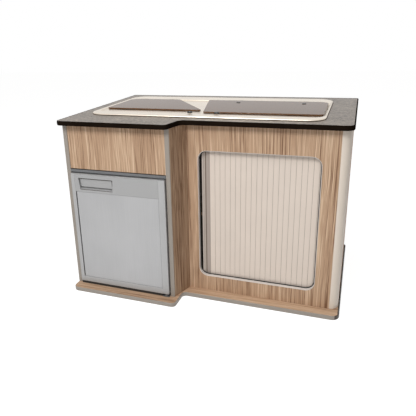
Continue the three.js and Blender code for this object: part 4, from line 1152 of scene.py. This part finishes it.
def unit_plan():
    """Outlines of the sink and hob unit and of its lids, as corners with their radii."""
    width, depth, rear = 872.0, 467.0, 375.0
    sink_left, sink_right, sink_front, sink_slant = 20.0, 420.0, 125.0, 177.0
    hob_left, hob_right, hob_front, hob_slant = 436.0, 860.0, 90.0, 62.0
    meeting_radius, front_radius, rear_radius = 8.0, 14.0, 38.0
    margin = 24.0
    bowl_left, bowl_right, bowl_radius = sink_left + margin, 350.0, 36.0
    bowl_front, bowl_rear = sink_front + margin, rear - margin
    bowl_slant = sink_slant * (bowl_rear - bowl_front) / (rear - sink_front)
    sump_left, sump_inset = 98.0, 12.0
    well_radius = 30.0
    plan = {
        "rim": rectangle(0.0, width, 0.0, depth, 60.0),
        "inner": rectangle(16.0, width - 8.0, 47.0, rear + 9.0, 45.0),
        "sink_lid": [
            (sink_left, sink_front, front_radius),
            (sink_right, sink_front, meeting_radius),
            (sink_right - sink_slant, rear, rear_radius),
            (sink_left, rear, rear_radius),
        ],
        "hob_lid": [
            (hob_left, hob_front, meeting_radius),
            (hob_right, hob_front, front_radius),
            (hob_right, rear, rear_radius),
            (hob_left - hob_slant, rear, meeting_radius),
        ],
        "bowl": [
            (bowl_left, bowl_front, bowl_radius),
            (bowl_right, bowl_front, bowl_radius),
            (bowl_right - bowl_slant, bowl_rear, bowl_radius),
            (bowl_left, bowl_rear, bowl_radius),
        ],
    }
    sump = inset_corners(plan["bowl"], sump_inset)
    plan["sump"] = [(sump_left, *sump[0][1:]), sump[1], sump[2], (sump_left, *sump[3][1:])]
    well = inset_corners(plan["hob_lid"], margin)
    plan["well"] = [(across, along, well_radius) for across, along, radius in well]
    for name, corners in plan.items():
        plan[name] = [
            (across + UNIT.x, along + UNIT.y, radius) for across, along, radius in corners
        ]
    return plan


PLAN = unit_plan()


class AddTray(Operator):
    """Adds the pressed steel tray with its bowl and hob well, a sealant bead whose dark colour
    paints the rim's shadow, and the waste
    """

    bl_idname = "pod.add_tray"
    bl_label = "Sink and hob tray"

    def execute(self, context):
        bm = bmesh.new()
        self.press(bm)
        self.turn_up(bm)
        nodes = ["sink_hob_rim", "sink_hob_tray"]
        tray = piece(bm, "pressed_tray", "steel", "cabinet", nodes, smooth=40, outward=False)
        wall = tray.modifiers.new("wall", "SOLIDIFY")
        wall.thickness = context.scene.pod_sizes.tray_sheet
        wall.offset = -1.0
        # The sealant bead round the rim, its dark colour painted shadow of the rim's edge.
        banded("rim_sealant", "sealant", PLAN["rim"], SEALANT_SHADE_BEAD, WORKTOP_TOP)
        self.add_waste()
        return {"FINISHED"}

    def press(self, bm):
        """The tray's upper skin: rim, deck, bowl with its ledge and sump, and hob well."""
        bend = size("press_radius")
        deck = DECK - WORKTOP_TOP
        mouth = [(-bend - 0.8, deck), (-bend, deck), (-bend * 0.3, deck - bend * 0.25)]
        mouth.append((0.0, deck - bend))
        outer = layered(bm, PLAN["rim"], RIM_OUTSIDE, WORKTOP_TOP)
        inner = layered(bm, PLAN["inner"], RIM_INSIDE, WORKTOP_TOP, start=outer[-1])
        bowl = layered(bm, PLAN["bowl"], (*mouth, *BOWL_WALL), WORKTOP_TOP)
        sump = layered(bm, PLAN["sump"], SUMP_WALL, WORKTOP_TOP, start=bowl[-1])
        well = layered(bm, PLAN["well"], (*mouth, *WELL_WALL), WORKTOP_TOP)
        bmesh.ops.edgeloop_fill(bm, edges=around(bm, well[-1]))
        edges = around(bm, inner[-1]) + around(bm, bowl[0]) + around(bm, well[0])
        for side, across in KNOBS:
            edges += self.add_hole(bm, (across, KNOB_ROW, DECK), SPINDLE_HOLE, 24)
        bmesh.ops.triangle_fill(bm, use_beauty=True, edges=edges)
        edges = self.add_hole(bm, (*WASTE, BOWL_FLOOR), WASTE_HOLE, 32) + around(bm, sump[-1])
        bmesh.ops.triangle_fill(bm, use_beauty=True, edges=edges)

    def turn_up(self, bm):
        """Turns the skin's faces so that the deck's look up."""
        bmesh.ops.recalc_face_normals(bm, faces=bm.faces)
        level = [face for face in bm.faces if abs(face.calc_center_median().z - DECK) < 0.01]
        if level[0].normal.z < 0:
            bmesh.ops.reverse_faces(bm, faces=bm.faces)

    def add_hole(self, bm, centre, radius, steps):
        """A round hole with a flat ring about it; returns the ring's outer edges."""
        middle = Vector(centre)
        ring = bmesh.ops.create_circle(
            bm, cap_ends=False, segments=steps, radius=radius + HOLE_RING,
            matrix=Matrix.Translation(middle),
        )["verts"]
        outer = around(bm, ring)
        shrink = radius / (radius + HOLE_RING)
        next_loop(bm, ring, [middle + (vert.co - middle) * shrink for vert in ring])
        return outer

    def add_waste(self):
        """The waste's cup, and dark discs painted as the shade in its strainer's holes, with the
        strainer's stud.
        """
        place = (*WASTE, BOWL_FLOOR)
        spun("sink_waste_cup", "bright_steel", WASTE_CUP, place, 40, ["sink_waste"])
        centre = (*WASTE, STRAINER)
        bm = bmesh.new()
        for place in ring_of(count=8, radius=11.5, centre=centre):
            turned(bm, STRAINER_HOLE_SHADE, place, 14)
        turned(bm, STRAINER_STUD, centre, 18)
        piece(bm, "sink_strainer_holes", "black_rubber", "cabinet")


class AddTap(Operator):
    """Adds the tap's base and swivelling spout"""

    bl_idname = "pod.add_tap"
    bl_label = "Tap"

    def execute(self, context):
        spun("tap_base_turned", "bright_steel", TAP_BASE, (*TAP, TAP_SEAT), 32, ["tap_base"])
        bm = bmesh.new()
        turned(bm, TAP_HUB, (*TAP, SPOUT_SEAT))
        across, along = TAP
        far, pipe, mouth = along - 118.0, SPOUT_SEAT + 5.5, SPOUT_SEAT - 6.0
        path = [(across, along, pipe), (across, far, pipe), (across, far, mouth)]
        tube(bm, path, radius=5.4, sides=16, bend=5.0)
        piece(bm, "tap_spout_pipe", "bright_steel", "tap_spout", ["tap_spout"])
        return {"FINISHED"}


class AddBurners(Operator):
    """Adds the burners, their caps and pan supports"""

    bl_idname = "pod.add_burners"
    bl_label = "Burners"

    def execute(self, context):
        for side, across in BURNERS:
            self.add_ring(side, (across, BURNER_ROW, BURNER_SEAT))
            place = (across, BURNER_ROW, CAP_SEAT)
            name = "burner_cap_" + side
            spun(name + "_disc", "iron", BURNER_CAP, place, 40, [name])
            name = "pan_support_" + side
            dressed(name, name + "_grid", "iron", 0.9, 2)
        return {"FINISHED"}

    def add_ring(self, side, centre):
        """A burner's ring with its row of gas ports, drawn as dark boxes that are painted shade."""
        name = "burner_ring_" + side
        spun(name + "_turned", "bright_steel", BURNER_RING, centre, 40, [name])
        count, port_shade, place = 20, (0.5, 1.3, 3.2), (24.5, 0.0, 11.8)
        bm = bmesh.new()
        for index in range(count):
            turn = Matrix.Rotation(index * math.tau / count, 4, "Z")
            made = bmesh.ops.create_cube(bm, size=1)["verts"]
            bmesh.ops.scale(bm, vec=port_shade, verts=made)
            bmesh.ops.translate(bm, vec=place, verts=made)
            bmesh.ops.transform(bm, matrix=Matrix.Translation(centre) @ turn, verts=made)
        piece(bm, name + "_ports", "black", "cabinet")


class AddKnobs(Operator):
    """Adds the two push and turn knobs with their pointer marks"""

    bl_idname = "pod.add_knobs"
    bl_label = "Knobs"

    def execute(self, context):
        low, high = KNOB_SEAT + 5.6, KNOB_SEAT + 5.98
        front, rear = KNOB_ROW - 7.0, KNOB_ROW - 1.5
        rib_seat = KNOB_SEAT + 2.6
        for side, across in KNOBS:
            name, body = "hob_knob_" + side, "knob_" + side
            bm = bmesh.new()
            turned(bm, KNOB, (across, KNOB_ROW, KNOB_SEAT), 36)
            for place in ring_of(count=12, radius=8.5, centre=(across, KNOB_ROW, rib_seat)):
                turned(bm, KNOB_RIB, place, 8)
            piece(bm, name + "_grip", "black", body, [name])
            mark = (across - 0.6, across + 0.6, front, rear, low, high, 0.12, 1)
            boxed(name + "_mark", "mark", body, mark)
            name = "hob_spindle_" + side
            dressed(name, name + "_pin", "bright_steel", 0.4, 2)
        return {"FINISHED"}


class AddLids(Operator):
    """Adds the smoked glass lids with their seals, hinge arms and rails"""

    bl_idname = "pod.add_lids"
    bl_label = "Glass lids"

    def execute(self, context):
        reach = size("lid_round")
        bend = [(reach + 1.0, 0.0), (reach, 0.0), (reach * 0.3, reach * 0.3), (0.0, reach)]
        profile = bend + [(inset, PANE_THICKNESS - rise) for inset, rise in reversed(bend)]
        for lid in ("sink_lid", "hob_lid"):
            bm = bmesh.new()
            loops = layered(bm, PLAN[lid], profile, PANE_UNDER)
            self.close_pane(bm, loops, HOB_BOLTS if lid == "hob_lid" else ())
            piece(bm, lid + "_pane", "glass", lid, [lid + "_glass"])
            dressed(lid + "_seal", lid + "_seal_strip", "black_rubber", 0.2, 1)
            for node in (lid + "_hinge_arm_left", lid + "_hinge_arm_right"):
                dressed(node, node + "_plate", "enamel", 0.25, 2)
            dressed(lid + "_hinge_rail", lid + "_hinge_rail_block", "steel", 0.3, 2)
        return {"FINISHED"}

    def close_pane(self, bm, loops, bolts):
        """Fills both faces of a pane, and bores it for its bolts."""
        faces = [around(bm, loops[0]), around(bm, loops[-1])]
        levels = [loops[0][0].co.z, loops[-1][0].co.z]
        for bolt in bolts:
            rings = []
            for level in levels:
                ring = bmesh.ops.create_circle(
                    bm, cap_ends=False, segments=20, radius=BOLT_HOLE,
                    matrix=Matrix.Translation((*bolt, level)),
                )["verts"]
                rings.append(around(bm, ring))
            bmesh.ops.bridge_loops(bm, edges=rings[0] + rings[1])
            for edges, ring in zip(faces, rings):
                edges += ring
        for edges in faces:
            bmesh.ops.triangle_fill(bm, use_beauty=True, edges=edges)


# Fridge

# Boxes of the door and below it: left, right, front, rear, low, high, edge and steps
DOOR_INFILL = (38.4, 373.4, -7.4, -1.4, 50.6, 409.8, 0.9, 3)
# The bead, the pocket's lip, the latch's strips and the foot rail are dark boxes painted as shade:
# beside the infill, under the pocket, round the paddle and under the door.
INFILL_SHADOW_BEAD = (35.3, 38.2, -4.6, -1.4, 50.6, 409.8, 0.2, 1)
POCKET_SHADOW_LIP = (57.0, 191.6, -8.95, -7.9, 419.6, 421.2, 0.2, 1)
LATCH_HEAD_SHADOW = (53.4, 190.6, -1.9, -1.3, 459.6, 462.6, 0.15, 1)
LATCH_END_SHADOW = (187.6, 190.6, -1.9, -1.3, 437.0, 461.0, 0.15, 1)
FOOT_SHADOW_RAIL = (21.0, 373.0, -6.0, 32.0, 16.2, 26.0, 1.0, 2)

# The header's finger pocket: end faces of its slanted cheeks and its ramp, and how far they run
POCKET_CHEEKS = (
    ((50.6, -8.9, 420.2), (57.0, -8.9, 420.2), (50.6, -8.9, 464.6)),
    ((194.4, -8.9, 420.2), (194.4, -8.9, 464.6), (191.6, -8.9, 420.2)),
)
POCKET_RAMP = ((51.2, -8.0, 420.2), (51.2, 8.9, 420.2), (51.2, 8.9, 428.4))
CHEEK_RUN = (0.0, 6.6, 0.0)
RAMP_RUN = (142.6, 0.0, 0.0)

# Planes that cut the paddle's ends, as a point and the way that is cut off
PADDLE_CUTS = (
    ((57.9, 0.0, 420.2), (-44.4, 0.0, -6.4)),
    ((190.7, 0.0, 420.2), (44.4, 0.0, -2.8)),
)


class AddFridgeDoor(Operator):
    """Adds the fridge door's frame, infill, header with its finger pocket, and latch"""

    bl_idname = "pod.add_fridge_door"
    bl_label = "Fridge door"

    def execute(self, context):
        door = "fridge_door"
        dressed("fridge_door_frame", "door_frame_profile", "silver", 1.3, 3)
        boxed("door_infill", "panel", door, DOOR_INFILL, stands_for=["fridge_door_panel"])
        # A dark bead painted as the shade in the gap beside the infill.
        boxed("door_infill_bead", "black_rubber", door, INFILL_SHADOW_BEAD)
        dressed("fridge_door_header", "door_header_cap", "header", 0.8, 2)
        bm = bmesh.new()
        for cheek in POCKET_CHEEKS:
            raised(bm, cheek, CHEEK_RUN)
        piece(bm, "header_pocket_cheeks", "header", door)
        bm = bmesh.new()
        raised(bm, POCKET_RAMP, RAMP_RUN)
        piece(bm, "header_pocket_ramp", "header", door)
        # A dark lip painted as the shade at the pocket's lower edge.
        boxed("header_pocket_lip", "sealant", door, POCKET_SHADOW_LIP)
        self.add_paddle()
        # Dark strips painted as the shade cast on the paddle's head and right end.
        boxed("door_latch_edges", "sealant", "fridge_latch", LATCH_HEAD_SHADOW, LATCH_END_SHADOW)
        dressed("fridge_top_strip", "fridge_flange", "flange", 1.0, 2)
        return {"FINISHED"}

    def add_paddle(self):
        """The latch's paddle, its ends slanted as the pocket's cheeks are, with room to swing."""
        bm = merged("fridge_latch")
        for place, way in PADDLE_CUTS:
            everything = bm.verts[:] + bm.edges[:] + bm.faces[:]
            cut = bmesh.ops.bisect_plane(
                bm, geom=everything, plane_co=place, plane_no=way, clear_outer=True
            )["geom_cut"]
            edges = [item for item in cut if isinstance(item, bmesh.types.BMEdge)]
            bmesh.ops.contextual_create(bm, geom=edges)
        soften(bm, 0.5, 2)
        latch = "fridge_latch"
        piece(bm, "door_latch_paddle", "header", latch, [latch], "silver_frame")


class AddFridgeInside(Operator):
    """Adds the fridge's lining, shelf, freezer box, gasket, hinges and a dark rail painted as the
    shadow under the door
    """

    bl_idname = "pod.add_fridge_inside"
    bl_label = "Fridge inside"

    def execute(self, context):
        dressed("fridge_cabinet", "fridge_lining", "white", 1.6, 3)
        dressed("fridge_door_liner", "door_liner_rack", "white", 1.0, 3)
        dressed("fridge_door_gasket", "door_gasket_strip", "rubber", 2.0, 3)
        dressed("freezer_box", "freezer_shell", "silver", 0.6, 2)
        dressed("fridge_shelf", "fridge_wire_shelf", "bright_steel", 0.9, 2)
        for node in ("fridge_hinge_top", "fridge_hinge_bottom"):
            dressed(node, node + "_bracket", "flange", 0.4, 2, "stainless_steel")
        # A dark rail painted as the shadow under the door.
        boxed("fridge_foot_rail", "black", "cabinet", FOOT_SHADOW_RAIL)
        return {"FINISHED"}


class AddCooling(Operator):
    """Adds the compressor and the condenser behind the fridge"""

    bl_idname = "pod.add_cooling"
    bl_label = "Cooling set"

    def execute(self, context):
        dressed("compressor", "compressor_shell", "enamel", 2.0, 3, smooth=50)
        dressed("condenser", "condenser_fins", "silver", 0.2, 1)
        return {"FINISHED"}


# Add-on

OPERATORS = (
    AddStage, AddBoards, AddWorktop, AddBase, AddEdgings, AddOpeningTrim, AddTambour, AddTray,
    AddTap, AddBurners, AddKnobs, AddLids, AddFridgeDoor, AddFridgeInside, AddCooling,
)
GROUPS = (("pod_finishes", PodFinishes), ("pod_sizes", PodSizes), ("pod_stage", PodStage))


class PodPanel(Panel):
    """Lists the pod's pieces and settings"""

    bl_idname = "VIEW3D_PT_kitchen_pod"
    bl_label = "Kitchen pod"
    bl_space_type = "VIEW_3D"
    bl_region_type = "UI"
    bl_category = "Kitchen pod"

    def draw(self, context):
        for operator in OPERATORS:
            self.layout.operator(operator.bl_idname)
        for name, group in GROUPS:
            for setting in group.__annotations__:
                self.layout.prop(getattr(context.scene, name), setting)


def register():
    """Registers the settings, the operators and the panel."""
    for name, group in GROUPS:
        bpy.utils.register_class(group)
        setattr(bpy.types.Scene, name, PointerProperty(type=group))
    for item in (*OPERATORS, PodPanel):
        bpy.utils.register_class(item)


def unregister():
    """Takes them out again, in the other order."""
    for item in (PodPanel, *reversed(OPERATORS)):
        bpy.utils.unregister_class(item)
    for name, group in reversed(GROUPS):
        delattr(bpy.types.Scene, name)
        bpy.utils.unregister_class(group)


def main():
    """Makes the stage and every piece."""
    register()
    for operator in OPERATORS:
        getattr(bpy.ops.pod, operator.bl_idname.split(".")[1])()


if __name__ == "__main__":
    main()
